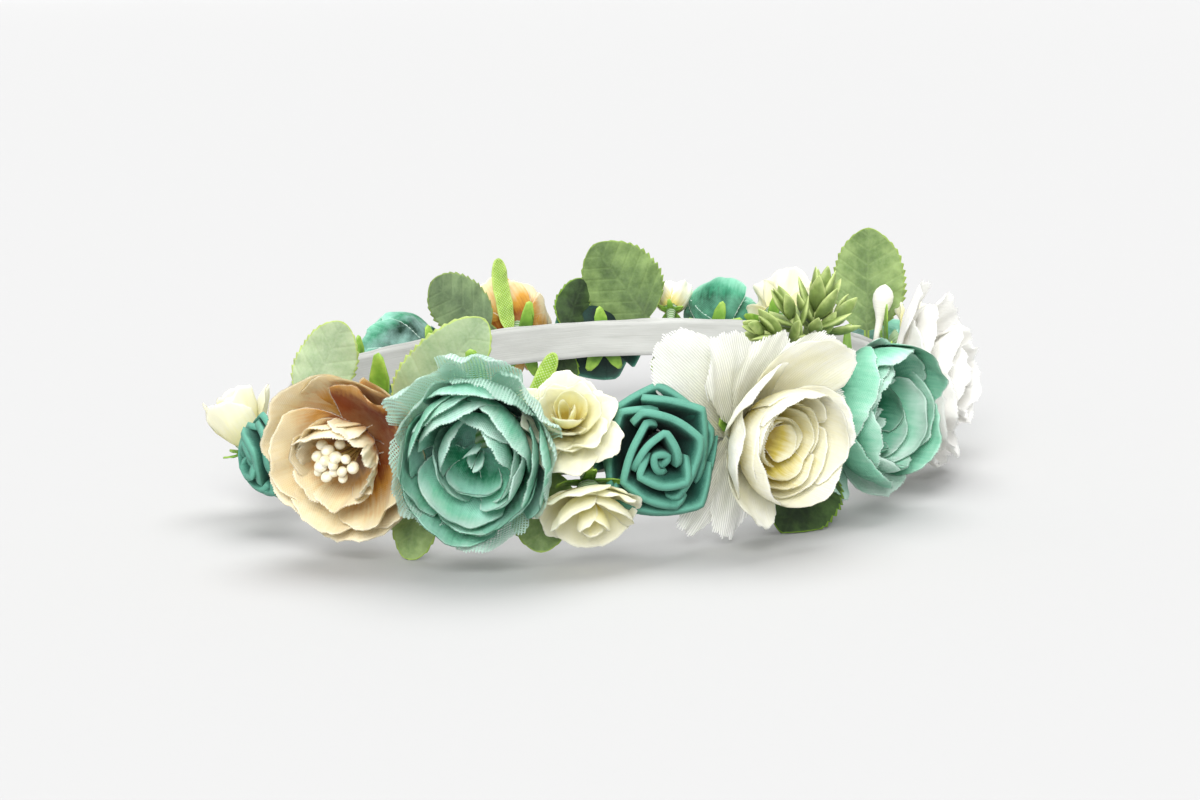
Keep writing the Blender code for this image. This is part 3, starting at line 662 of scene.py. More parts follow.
def open_rose(radius, rng, finish):
    """Broad smooth petals round a golden cup, a few narrow ones standing beside the stamens."""
    outer = Sheet()
    # The petals at the upper right get the deepest painted shade and make a dark pocket there
    rear = ((150, 1.60, 1.95, 0, 76, 0.06), (214, 1.55, 1.80, 0, 78, 0.08), (268, 1.55, 1.70, 0, 70, 0.08),
            (322, 1.50, 1.50, 0, 74, 0.0), (86, 1.50, 1.60, 0, 74, -0.06), (32, 1.52, 1.60, 0, 66, -0.12))
    each_petal(outer, rng, radius, rear, base=-0.58, hug=0.8, curl=0.06, crumple=0.12, ruffle=0.6,
               rows=24, columns=25, tone_from=-0.1, tone_to=0.95)
    front = ((186, 1.46, 1.50, 8, 78, 0.04), (246, 1.46, 1.50, 8, 76, 0.05), (300, 1.42, 1.30, 8, 78, 0.0),
             (350, 1.40, 1.30, 8, 74, -0.25), (58, 1.42, 1.40, 8, 70, -0.34))
    each_petal(outer, rng, radius, front, base=-0.50, hug=0.8, curl=0.06, crumple=0.14, ruffle=0.8,
               rows=24, columns=23, tone_from=-0.25, tone_to=0.95)
    inner = Sheet()
    for angle, length, width, rise, fall, hug in ((118, 1.28, 1.20, 26, 106, 0.7),
                                                  (160, 1.22, 1.00, 30, 92, 0.6),
                                                  (-35, 1.12, 0.80, 36, 80, 0.6),
                                                  (215, 1.15, 1.00, 30, 80, 0.7),
                                                  (262, 1.15, 0.95, 30, 80, 0.7),
                                                  (48, 0.95, 0.90, 34, 84, 0.6)):
        petal(inner, rng, radius, angle, length, width, rise, fall, base=-0.42, hug=hug, curl=0.05,
              crumple=0.14, ruffle=0.6, rows=20, columns=19, tone_from=-0.25)
    narrow = ((100, 1.12, 1.15, 56, 112, 0.1), (58, 1.00, 0.70, 56, 98, 0.1),
              (14, 1.08, 0.34, 56, 90, 0.1), (-12, 1.10, 0.28, 56, 86, 0.1),
              (-34, 0.95, 0.26, 56, 92, 0.1), (165, 0.85, 0.45, 56, 98, 0.1))
    each_petal(inner, rng, radius, narrow, foot=0.30, base=-0.26, hug=0.5, crumple=0.16, curl=0.03,
               rows=18, columns=15, tip=0.22, tone_from=-0.2)
    return [(outer, finish), (inner, finish + "_mid")]


def ranunculus(radius, rng, finish, gauze=None, shade=0.0, heart_shade=0.0, loose=()):
    """Broad cupped petals in close rings that turn inward over a nested heart.

    gauze names the cloth of a net veil behind them; loose lists petals that stand away from the cup. shade
    is painted shade over the whole flower and heart_shade is painted shade in its heart.
    """
    parts = []
    if gauze:
        veil = Sheet()
        globe(veil, rng, radius, 5, 62, 1.08, 104, -0.68, 1.45, hug=0.9, crumple=0.22, ruffle=0.7,
              curl=0.02, rows=20, columns=19, ragged=0.02, tone_from=0.2)
        torn = ((84, 2.25, 1.25, 0, 84, 0), (40, 2.10, 1.25, 0, 92, 0), (132, 2.05, 1.25, 0, 86, 0),
                (200, 1.95, 1.25, 0, 96, 0))
        each_petal(veil, rng, radius, torn, base=-0.66, hug=0.6, crumple=0.3, ruffle=0.9, rows=24,
                   columns=19, ragged=0.025, tone_from=0.3)
        parts.append((veil, gauze))
    outer = Sheet()
    each_petal(outer, rng, radius, loose, base=-0.66, hug=0.6, curl=0.05, crumple=0.16, ruffle=0.5,
               rows=24, columns=21, tone_to=1.1)
    globe(outer, rng, radius, 5, 10, 1.00, 108, -0.64, 1.60, hug=0.95, crumple=0.14, ruffle=0.4,
          rows=22, columns=21, tone_to=1.15, tone_power=1.7, sway=0.3, dye=shade - 0.08)
    globe(outer, rng, radius, 5, 44, 0.89, 114, -0.60, 1.45, hug=0.97, crumple=0.12, ruffle=0.35,
          rows=22, columns=21, tone_to=1.15, tone_power=1.8, sway=0.2, dye=shade)
    globe(outer, rng, radius, 3, 100, 0.78, 120, -0.56, 1.45, hug=0.95, crumple=0.12, ruffle=0.35,
          rows=20, columns=21, tone_to=1.25, tone_power=1.6, sway=0.45, dye=shade + 0.1)
    heart = Sheet()
    globe(heart, rng, radius, 3, 75, 0.60, 122, -0.62, 1.15, hug=0.90, crumple=0.10, rows=20, columns=19,
          dye=heart_shade + 0.12, sway=0.4, tone_to=1.2, tone_power=1.3)
    globe(heart, rng, radius, 3, 20, 0.50, 132, -0.60, 0.98, hug=0.9, crumple=0.06, rows=18, columns=17,
          dye=heart_shade, sway=0.3, tone_to=1.25, tone_power=1.5)
    tufts = ((-60, 0.62, 0.20, 80, 88, 0.3), (110, 0.66, 0.24, 80, 84, 0.3), (200, 0.55, 0.18, 80, 92, 0.3))
    each_petal(heart, rng, radius, tufts, foot=0.05, base=-0.45, hug=0.4, rows=10, columns=7, tip=0.04)
    heart.shift(-0.03 * radius, -0.09 * radius)
    return parts + [(outer, finish), (heart, finish)]


def paper_rose(radius, rng, finish):
    """A small rose of stamped paper: big curled outer petals round a pointed, rolled bud."""
    skirt = Sheet()
    rear = ((158, 1.50, 1.30, 14, 26, 0), (212, 1.40, 1.15, 20, 38, 0), (268, 1.42, 1.35, 16, 34, 0),
            (326, 1.34, 1.20, 16, 30, 0), (22, 1.24, 1.20, 24, 54, 0), (88, 1.34, 1.40, 26, 56, 0))
    each_petal(skirt, rng, radius, rear, base=-0.50, hug=0.6, curl=0.16, crumple=0.20, ruffle=0.7,
               rows=20, columns=21, tone_from=0.05, tip=0.34)
    front = ((186, 1.40, 1.25, 26, 74, 0), (248, 1.24, 1.20, 30, 62, 0), (306, 1.32, 1.30, 28, 70, 0),
             (58, 1.22, 1.10, 34, 80, 0), (120, 1.26, 1.10, 34, 84, 0))
    each_petal(skirt, rng, radius, front, base=-0.44, hug=0.75, curl=0.13, crumple=0.16, ruffle=0.5,
               rows=20, columns=19, tip=0.32)
    bud = Sheet()
    ring(bud, rng, radius, 3, 20, length=1.36, width=1.10, rise=40, fall=90, base=-0.40, hug=0.92,
         curl=0.05, crumple=0.08, ruffle=0.25, rows=18, columns=17, sway=0.3)
    ring(bud, rng, radius, 2, 80, length=1.36, width=0.95, rise=54, fall=97, base=-0.34, hug=0.92,
         crumple=0.06, rows=16, columns=15, dye=-0.16, tip=0.5, sway=0.3)
    ring(bud, rng, radius, 2, 160, length=1.26, width=0.60, rise=68, fall=99, base=-0.30, hug=0.88,
         rows=14, columns=13, dye=-0.30, tip=0.55)
    return [(skirt, finish), (bud, finish)]


def paper_cup(radius, rng, finish):
    """A small paper rose seen as it nods: a few broad rounded petals closing over one another."""
    skirt = Sheet()
    rear = ((118, 1.85, 1.80, 6, 58, 0), (172, 1.60, 1.35, 8, 48, 0), (14, 1.35, 1.30, 8, 48, 0),
            (62, 1.55, 1.60, 10, 64, 0), (232, 1.60, 1.65, 6, 60, 0), (306, 1.50, 1.60, 6, 62, 0))
    each_petal(skirt, rng, radius, rear, base=-0.58, hug=0.7, curl=0.08, crumple=0.10, ruffle=0.35,
               rows=22, columns=23, tone_from=0.05, tip=0.30)
    front = ((150, 1.62, 1.85, 14, 88, 0), (30, 1.50, 1.80, 14, 88, 0), (270, 1.60, 2.00, 12, 86, 0))
    each_petal(skirt, rng, radius, front, base=-0.50, hug=0.8, curl=0.05, crumple=0.10, ruffle=0.3,
               rows=20, columns=21, tip=0.28)
    bud = Sheet()
    ring(bud, rng, radius, 3, 20, length=1.20, width=0.90, rise=46, fall=96, base=-0.36, hug=0.9,
         crumple=0.06, rows=16, columns=15, dye=-0.2)
    return [(skirt, finish), (bud, finish)]


def cupped_rose(radius, rng, finish, sheer):
    """A big rose: long sheer petals thrown out to one side, a smooth cup, and a golden nested middle."""
    veil = Sheet()
    for angle, length, width, fall, rear in ((140, 2.25, 1.25, -10, 0.92), (163, 1.75, 1.00, -16, 0.95),
                                             (120, 1.85, 1.05, 12, 0.80), (90, 1.65, 1.15, 26, 0.75),
                                             (233, 1.85, 0.95, -2, 0.80), (256, 1.70, 0.95, 8, 0.78),
                                             (50, 1.85, 1.25, 24, 0.72), (12, 1.60, 1.15, 34, 0.70)):
        petal(veil, rng, radius, angle, length, width, 8, fall, base=-rear, hug=0.5, dish=10, curl=0.03,
              crumple=0.18, ruffle=0.7, rows=30, columns=25, ragged=0.015, tone_from=0.1, tip=0.34)
    cup = Sheet()
    rear = ((128, 1.78, 1.40, 4, 70, 0), (182, 1.72, 1.50, 4, 78, 0), (236, 1.66, 1.30, 4, 72, 0),
            (62, 1.95, 1.50, 4, 58, 0), (8, 1.60, 1.40, 4, 84, 0), (296, 1.50, 1.25, 4, 94, 0))
    each_petal(cup, rng, radius, rear, base=-0.58, hug=0.85, curl=0.03, crumple=0.14, ruffle=0.4,
               rows=24, columns=23, tone_from=0.4, tone_to=1.1)
    globe(cup, rng, radius, 4, 20, 0.88, 100, -0.50, 1.75, hug=1.0, crumple=0.08, ruffle=0.25,
          rows=24, columns=25, tone_from=0.1, tone_to=1.0, tip=0.16, sway=0.3)
    heart = Sheet()
    for count, start, size, close, base, width, dye in ((3, 200, 0.76, 100, -0.46, 1.55, -0.12),
                                                        (3, 150, 0.64, 102, -0.42, 1.35, -0.20),
                                                        (3, 260, 0.52, 104, -0.36, 1.10, -0.20),
                                                        (2, 200, 0.40, 104, -0.30, 0.95, -0.16),
                                                        (2, 150, 0.28, 104, -0.20, 0.70, -0.12)):
        globe(heart, rng, radius, count, start, size, close, base, width, hug=1.0, tip=0.14,
              crumple=0.06, rows=20, columns=19, dye=dye, sway=0.3, ragged=0.008)
    heart.shift(-0.13 * radius, 0.02 * radius)
    return [(veil, sheer), (cup, finish), (heart, finish)]


def ruffled_rose(radius, rng, finish):
    """Many loose, wavy petals standing forward round a small middle."""
    skirt = Sheet()
    for count, start, length, width, rise, fall in ((5, 0, 1.55, 1.60, 4, 56), (5, 34, 1.45, 1.45, 14, 70),
                                                    (4, 10, 1.30, 1.25, 28, 84),
                                                    (4, 50, 1.15, 1.00, 44, 92)):
        ring(skirt, rng, radius, count, start, length=length, width=width, rise=rise, fall=fall,
             base=-0.56 + rise / 200, hug=0.7, curl=0.07, crumple=0.18, ruffle=0.8, rows=20, columns=21,
             tone_from=0.15, ragged=0.018, sway=0.2)
    heart = Sheet()
    ring(heart, rng, radius, 4, 0, length=0.95, width=0.55, rise=66, fall=94, base=-0.25, hug=0.9,
         crumple=0.10, rows=14, columns=11, dye=-0.1)
    ring(heart, rng, radius, 3, 50, length=0.88, width=0.36, rise=76, fall=98, base=-0.20, hug=0.9,
         rows=12, columns=9, dye=-0.15)
    return [(skirt, finish), (heart, finish)]


def closed_bud(radius, rng, finish):
    """A half-open bud: a few petals wrapped round each other."""
    wrap = Sheet()
    ring(wrap, rng, radius, 3, 0, length=2.3, width=1.9, rise=35, fall=86, base=-0.85, hug=0.85,
         crumple=0.12, ruffle=0.4, curl=0.10, rows=16, columns=17, tone_from=0.1)
    ring(wrap, rng, radius, 3, 60, length=2.2, width=1.6, rise=44, fall=92, base=-0.75, hug=0.9,
         crumple=0.1, ruffle=0.3, rows=16, columns=15)
    ring(wrap, rng, radius, 3, 20, length=2.0, width=1.0, rise=56, fall=96, base=-0.65, hug=0.9,
         rows=14, columns=11, dye=-0.15)
    return [(wrap, finish)]


def foam_rose(radius, rng, finish):
    """Wide strips of thick foam bent into squared loops, each one tucked behind the next."""
    sheet = Sheet()
    u = np.linspace(-1, 1, 25)[None, :]
    v = np.linspace(0, 1, 12)[:, None]
    # rim distance from the axis, rim height, strips in the loop, corners of the loop, its turn (degrees)
    loops = ((0.11, 0.20, 1, 3, 20), (0.34, 0.40, 2, 3, 75), (0.60, 0.32, 2, 4, 14), (0.86, 0.06, 3, 4, 34),
             (0.94, -0.20, 2, 5, 80))
    for distance, lip, count, corners, turn in loops:
        sector = 2 * math.pi / corners
        for index in range(count):
            middle = math.radians(turn) + 2 * math.pi * index / count + rng.uniform(-0.12, 0.12)
            span = math.pi / count * (1.18 if count > 1 else 1.5)
            around = middle + u * span
            within = np.mod(around - math.radians(turn), sector) - sector / 2
            flat = math.cos(sector / 2) / np.cos(within)
            corner = 0.34 + 0.66 * flat / (0.5 + 0.5 * math.cos(sector / 2))
            rim = distance * radius * corner * rng.uniform(0.96, 1.04) + 0.085 * radius * u
            flare = 0.09 * radius * np.clip((v - 0.66) / 0.34, 0, 1) ** 2 * (distance > 0.3)
            out = rim * (0.42 + 0.58 * np.sin(v * math.pi / 2)) + flare
            sway = 0.08 * np.sin(u * 2.0 + rng.uniform(0, 6.28))
            top = (lip + rng.uniform(-0.05, 0.05) + sway) * radius - 0.20 * radius * np.abs(u) ** 5
            base = -0.62 * radius
            height = base + (top - base) * v ** 1.25 - 0.35 * flare
            points = np.stack([out * np.cos(around), out * np.sin(around), height], axis=-1)
            run = np.broadcast_to(around * distance * radius / MM, out.shape)
            uv = np.stack([run, np.broadcast_to(v * radius / MM, out.shape)], axis=-1)
            # Tone rises from painted shade low in the loops to painted light at the top rims
            sheet.add_grid(points, uv, 0.10 + 0.90 * v ** 3.5 * np.ones_like(u), 5.0)
    return [(sheet, finish)]


PETAL_KINDS = {"open_rose": open_rose, "ranunculus": ranunculus, "paper_rose": paper_rose,
               "paper_cup": paper_cup, "bud": closed_bud, "cupped_rose": cupped_rose,
               "ruffled_rose": ruffled_rose, "foam_rose": foam_rose}

# The aqua flower's four petals that have come away from its cup
AQUA_LOOSE = ((212, 1.62, 1.15, 2, 52, 0.05), (280, 1.55, 1.30, 2, 62, 0.15),
              (330, 1.50, 1.20, 2, 66, 0.20), (70, 1.42, 1.40, 2, 80, 0.25))

# Flowers: solid's name, kind, yaw and pitch of the face, petals' size over the solid's radius, their
# stretch across and up, slide to the right, up and forward as the flower faces (mm), roll about its own
# axis, finish, length of the sepals over the radius
FLOWERS = (
    ("cream_bud_left", "bud", -20, 72, 1.25, (1.0, 1.0), (1, 0, 0), 0, "cream", 1.0),
    ("foam_rose_left", "foam_rose", 0, -6, 1.15, (1.0, 1.08), (-1, 0, 1), 10, "foam", 0.8),
    ("peach_rose_front", "open_rose", 12, -6, 1.02, (1.0, 1.0), (3, 2.5, 0), 0, "peach", 1.3),
    ("teal_ranunculus_front", "ranunculus", 0, -12, 1.02, (1.0, 1.12), (0.5, 2.5, 0), 0, "teal", 1.3),
    ("cream_rose_upper", "paper_rose", -4, 34, 1.08, (1.12, 1.0), (-2.5, -0.8, 0), 0, "cream", 1.2),
    ("cream_rose_lower", "paper_cup", 0, -48, 1.02, (1.15, 0.95), (0, 2, 0), 0, "cream", 1.0),
    ("foam_rose_front", "foam_rose", -12, -4, 1.14, (1.0, 1.12), (-1.5, 0.0, 1), 8, "foam", 0.8),
    ("ivory_rose_front", "cupped_rose", 4, -8, 0.92, (1.0, 1.0), (-3, 1, 1), 0, "ivory", 0.5),
    ("aqua_ranunculus_front", "ranunculus", -10, 0, 1.06, (1.0, 1.1), (-5, 2, -2.5), 15, "aqua", 1.2),
    ("white_rose_right", "ruffled_rose", -4, 4, 1.0, (1.0, 1.12), (-2, -1, -2), 20, "white", 0.6),
    ("cream_rose_right", "paper_rose", 0, 12, 1.10, (1.0, 1.0), (0, 0, 0), 60, "cream", 1.1),
    ("aqua_ranunculus_right", "ranunculus", 0, 0, 1.05, (1.0, 0.96), (0, 0, 0), 50, "teal", 1.1),
    ("cream_rose_back", "paper_rose", 0, 14, 1.10, (1.0, 1.0), (0, 0, 0), 10, "cream", 0.8),
    ("teal_ranunculus_back", "ranunculus", 0, 6, 1.08, (1.0, 1.0), (0, 0, 0), 0, "aqua", 0.8),
    ("pale_bud_back", "bud", 0, 28, 1.05, (1.0, 1.0), (0, 0, 0), 30, "ivory", 0.8),
    ("foam_rose_back", "foam_rose", 0, 0, 1.1, (1.0, 1.0), (0, 0, 0), 30, "foam", 0.8),
    ("peach_rose_back", "open_rose", 0, 8, 1.05, (1.0, 1.0), (0, 0, 0), 35, "peach", 0.9),
    ("teal_ranunculus_left", "ranunculus", 0, 4, 1.08, (1.0, 1.0), (0, 0, 0), 20, "teal", 0.8),
    ("ivory_rose_left", "ruffled_rose", 0, 0, 1.10, (1.0, 1.0), (0, 0, 0), 45, "ivory", 1.0),
)

# What only some flowers have: a net veil, painted shade over a whole flower, painted shade in a heart,
# loose petals, sheer outer petals
EXTRAS = {
    "teal_ranunculus_front": {"gauze": "teal_gauze"},
    "ivory_rose_front": {"sheer": "ivory_outer"},
    "aqua_ranunculus_front": {"heart_shade": -0.22, "loose": AQUA_LOOSE},
    "teal_ranunculus_back": {"shade": -0.12},
    "teal_ranunculus_left": {"shade": -0.12},
}


def make_flower(row, number):
    name, kind, yaw, pitch, size, stretch, slide, spin, finish, sepals = row
    foam = kind == "foam_rose"
    rng = random.Random(100 + number)
    place = flower_frame(name, yaw, pitch) @ Matrix.Translation(Vector(slide) * MM)
    shape = Matrix.Diagonal((*stretch, 1, 1)) @ Matrix.Rotation(math.radians(spin), 4, "Z")
    radius = solid_radius(name) * size
    layers = PETAL_KINDS[kind](radius, rng, finish, **EXTRAS.get(name, {}))
    for layer, (sheet, cloth) in enumerate(layers):
        item = sheet.build(f"{name}_petals_{layer + 1}", cloth, place @ shape,
                           FOAM_THICKNESS if foam else PETAL_THICKNESS, outside=True)
        if foam:
            cut = item.modifiers["cloth_thickness"]
            cut.edge_crease_rim = cut.edge_crease_inner = cut.edge_crease_outer = 0.55
            rounding = item.modifiers.new("rounded_cut_edges", "SUBSURF")
            rounding.levels = rounding.render_levels = 1
        hold(item, "foam_teal" if foam else "petal_" + finish, name)
    make_calyx(name, place, radius, sepals, rng)
    if kind == "open_rose":
        make_stamens(name, place, radius, number)


def make_calyx(name, place, radius, sepals, rng):
    """Green sepals under the petals, and the taped stem that reaches back to the ribbon."""
    green = Sheet()
    ring(green, rng, radius, 5, 20, length=sepals, width=0.42, rise=-6, fall=24, base=-0.84, foot=0.04,
         hug=0.6, narrow=0.7, tip=0.85, crumple=0.1, rows=12, columns=7, sway=0.25)
    item = green.build(name + "_sepals", "calyx", place, SEPAL_THICKNESS, outside=True)
    hold(item, "calyx_green")
    forward = (place.to_3x3() @ Vector((0, 0, 1))).normalized()
    middle = place.translation
    angle = hoop_angle(middle)
    outward = hoop_axes(angle)[1]
    gap = (middle - hoop_point(angle, BAND_DEPTH, middle.z)).dot(outward)
    start = middle - forward * 0.55 * radius
    end_height = min(max(middle.z, BAND_LOW + 2 * MM), BAND_HIGH - 2 * MM)
    end = hoop_point(angle, BAND_DEPTH - 0.2 * MM, end_height)
    cup = middle - forward * min(0.95 * radius, gap * 0.9)
    stem = Sheet()
    route = [start, start.lerp(cup, 0.5), cup, cup.lerp(end, 0.5), end]
    widths = (0.42 * radius, 0.30 * radius, 1.5 * MM, 1.2 * MM, 1.2 * MM)
    closed = [route[0] + forward * 0.2 * MM] + route + [end - outward * 0.1 * MM]
    sizes = (0.0,) + widths + (0.0,)
    stem.add_tube(closed, sizes, sizes, UP + outward * 0.3, 12)
    item = stem.build(name + "_stem", "tape", None, weld=True)
    hold(item, "calyx_green", name + "_calyx")


# ---------------------------------------------------------------- what is grown with geometry nodes

def grow(name, points, edges, slot, settings, build, material, replaced=()):
    """Run a node tree on a set of lines and keep its result as a finished piece."""
    mesh = bpy.data.meshes.new(name + "_lines")
    mesh.from_pydata([tuple(p) for p in points], edges, [])
    item = add_object(name + "_lines", mesh)
    tree = bpy.data.node_groups.new(name + "_tree", "GeometryNodeTree")
    tree.interface.new_socket("Geometry", in_out="INPUT", socket_type="NodeSocketGeometry")
    tree.interface.new_socket("Geometry", in_out="OUTPUT", socket_type="NodeSocketGeometry")
    sockets = {}
    for key in settings:
        sockets[key] = tree.interface.new_socket(key, in_out="INPUT", socket_type="NodeSocketFloat")
    given = node(tree, "NodeGroupInput", output=None)
    grown = build(tree, given)
    real = node(tree, "GeometryNodeRealizeInstances", i0=grown)
    dressed = node(tree, "GeometryNodeSetMaterial", Geometry=real, Material=MATERIALS[material])
    node(tree, "NodeGroupOutput", i0=dressed)
    modifier = item.modifiers.new("grow", "NODES")
    modifier.node_group = tree
    for key, value in settings.items():
        modifier[sockets[key].identifier] = value
    graph = bpy.context.evaluated_depsgraph_get()
    result = bpy.data.meshes.new_from_object(item.evaluated_get(graph))
    item.modifiers.remove(modifier)
    piece = add_object(name, result)
    bpy.data.objects.remove(item)
    return hold(piece, slot, *replaced)


def thread_tree(tree, given):
    """Round threads along the lines."""
    curve = node(tree, "GeometryNodeMeshToCurve", i0=given["Geometry"])
    size = given["Thread Radius"]
    profile = node(tree, "GeometryNodeCurvePrimitiveCircle", Resolution=6, Radius=size)
    tube = node(tree, "GeometryNodeCurveToMesh", Curve=curve, Profile_Curve=profile)
    return node(tree, "GeometryNodeSetShadeSmooth", i0=tube)


def pearl_tree(tree, given):
    """An egg-shaped pearl on the end of every line, none quite like the next."""
    curve = node(tree, "GeometryNodeMeshToCurve", i0=given["Geometry"])
    ends = node(tree, "GeometryNodeCurveEndpointSelection", Start_Size=0, End_Size=1)
    radius = given["Pearl Radius"]
    pearl = node(tree, "GeometryNodeMeshUVSphere", Segments=14, Rings=10, Radius=radius)
    egg = node(tree, "GeometryNodeTransform", Geometry=pearl, Scale=(1.0, 1.0, 1.35))
    tangent = node(tree, "GeometryNodeInputTangent")
    turn = node(tree, "FunctionNodeAlignEulerToVector", {"axis": "Z"}, Vector=tangent)
    size = node(tree, "FunctionNodeRandomValue", {"data_type": "FLOAT"}, i2=0.82, i3=1.12, Seed=7,
                output=1)
    scattered = node(tree, "GeometryNodeInstanceOnPoints", Points=curve,
                     Selection=ends, Instance=egg, Rotation=turn,
                     Scale=size)
    return node(tree, "GeometryNodeSetShadeSmooth", i0=scattered)


def make_stamens(name, place, radius, number):
    """A bundle of stiff threads with pearl tips, rising from the middle of an open rose."""
    rng = random.Random(700 + number)
    low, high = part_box(name + "_stamens")
    bundle = max(high - low) / 2 * 1.12
    points, edges = [], []
    for index in range(STAMEN_COUNT):
        turn = index * GOLDEN_ANGLE
        out = bundle * math.sqrt((index + 0.4) / STAMEN_COUNT)
        height = (0.52 - 0.16 * (out / bundle) ** 2) * radius + rng.uniform(-0.9, 0.9) * MM
        tip = Vector((out * math.cos(turn), out * math.sin(turn), height))
        foot = Vector((tip.x * 0.25, tip.y * 0.25, -0.3 * radius))
        start = len(points)
        for step in range(6):
            share = step / 5
            spot = foot.lerp(tip, share)
            spot.xy *= 0.75 + 0.25 * share
            points.append(place @ spot)
        edges += [(start + step, start + step + 1) for step in range(5)]
    grow(name + "_stamen_tips", points, edges, "stamen_pearl", {"Pearl Radius": PEARL_RADIUS},
         pearl_tree, "pearl", (name + "_stamens",))
    grow(name + "_stamen_threads", points, edges, "stamen_pearl", {"Thread Radius": THREAD_RADIUS},
         thread_tree, "filament")


# ---------------------------------------------------------------- ribbons

def ribbon(name, reach, seed):
    """A ribbon round the hoop with a faint lengthwise cockle and slightly wavy edges."""
    columns, rows = 360, 9
    turn = np.linspace(0, 2 * math.pi, columns, endpoint=False)
    across = np.linspace(-1, 1, rows)[:, None]
    normal = np.stack([np.cos(turn) / HALF_LENGTH, np.sin(turn) / HALF_WIDTH], axis=-1)
    normal /= np.linalg.norm(normal, axis=1)[:, None]
    rng = random.Random(seed)
    wander = np.zeros(columns)
    for count in (7, 13, 22, 37):
        wander += rng.uniform(0.4, 1) * np.sin(turn * count + rng.uniform(0, 6.28))
    cockle = 0.10 * MM * wander[None, :] * across
    bow = 0.12 * MM * (1 - across ** 2)
    edge_drift = 0.12 * MM * wander[None, :] * np.ones_like(across)
    out = reach + cockle + bow
    half = (BAND_HIGH - BAND_LOW) / 2
    x = HALF_LENGTH * np.cos(turn)[None, :] + out * normal[None, :, 0]
    y = HALF_WIDTH * np.sin(turn)[None, :] + out * normal[None, :, 1]
    z = BAND_MIDDLE + across * half + edge_drift
    points = np.stack([x, y, z], axis=-1)
    steps = np.hypot(np.diff(HALF_LENGTH * np.cos(turn)), np.diff(HALF_WIDTH * np.sin(turn)))
    run = np.concatenate([[0], np.cumsum(steps)])
    run_mm = np.broadcast_to(run[None, :] / MM, x.shape)
    uv = np.stack([run_mm, np.broadcast_to(across * half / MM, x.shape)], axis=-1)
    sheet = Sheet()
    sheet.add_grid(points, uv, 0.5, (1 - np.abs(across)) * half / MM * np.ones_like(x), wrap=True)
    item = sheet.build(name + "_satin", "satin", None, SATIN_THICKNESS, 1.0)
    hold(item, "satin_white", name)


# ---------------------------------------------------------------- leaves

def leaf_frame(name):
    """Foot, midrib, side and face directions of a flat leaf solid, with its length and width."""
    points = np.array([v.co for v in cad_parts[name].data.vertices])
    middle = points.mean(axis=0)
    axes = np.linalg.svd(points - middle, full_matrices=False)[2]
    normal = axes[2]
    # The stalk end is the one nearer the ribbon: try both ends of the longest direction
    midrib = axes[0]
    along = (points - middle) @ midrib
    ends = [middle + midrib * along.min(), middle + midrib * along.max()]
    reach = [abs(Vector(end).xy.length - hoop_point(hoop_angle(Vector(end)), BAND_DEPTH, 0).xy.length)
             + abs(end[2] - BAND_MIDDLE) for end in ends]
    if reach[1] < reach[0]:
        midrib = -midrib
        ends.reverse()
    side = np.cross(midrib, normal)
    across = (points - middle) @ side
    length = float(np.linalg.norm(ends[1] - ends[0]))
    width = float(across.max() - across.min())
    return Vector(ends[0]), Vector(midrib), Vector(side), Vector(normal), length, width


LEAVES = (
    # solid's name, finish, record slot, teeth a side, cup across (mm), arch along (mm), roundness
    ("leaf_left", "pale_leaf", "leaf_pale", 13, 1.6, 2.0, 0.9),
    ("leaf_behind_peach", "pale_leaf", "leaf_pale", 16, 1.6, 2.5, 0.9),
    ("leaf_slim_front", "bright_leaf", "leaf_bright", 0, 0.8, 1.5, 1.2),
    ("leaf_under_peach", "leaf", "leaf_green", 10, 1.0, 1.5, 1.1),
    ("leaf_under_cream", "leaf", "leaf_green", 11, 1.4, 1.5, 0.9),
    ("leaf_under_ivory", "dark_leaf", "leaf_dark", 14, 1.6, 1.5, 0.85),
    ("leaf_under_left", "leaf", "leaf_green", 11, 1.2, 1.5, 0.9),
    ("leaf_round_right", "leaf", "leaf_green", 15, 1.8, 2.0, 0.8),
    ("leaf_sage_back", "frosted_leaf", "leaf_sage", 12, 1.5, 2.0, 0.9),
    ("leaf_bright_back", "bright_leaf", "leaf_bright", 0, 0.8, 1.5, 1.2),
    ("leaf_big_back", "deep_leaf", "leaf_green", 14, 2.0, 2.0, 0.75),
    ("leaf_dark_back", "dark_leaf", "leaf_dark", 9, 1.2, 1.5, 1.0),
    ("leaf_low_back", "dark_leaf", "leaf_dark", 9, 1.2, 1.5, 1.0),
    ("leaf_low_right_back", "leaf", "leaf_green", 9, 1.2, 1.5, 1.0),
)


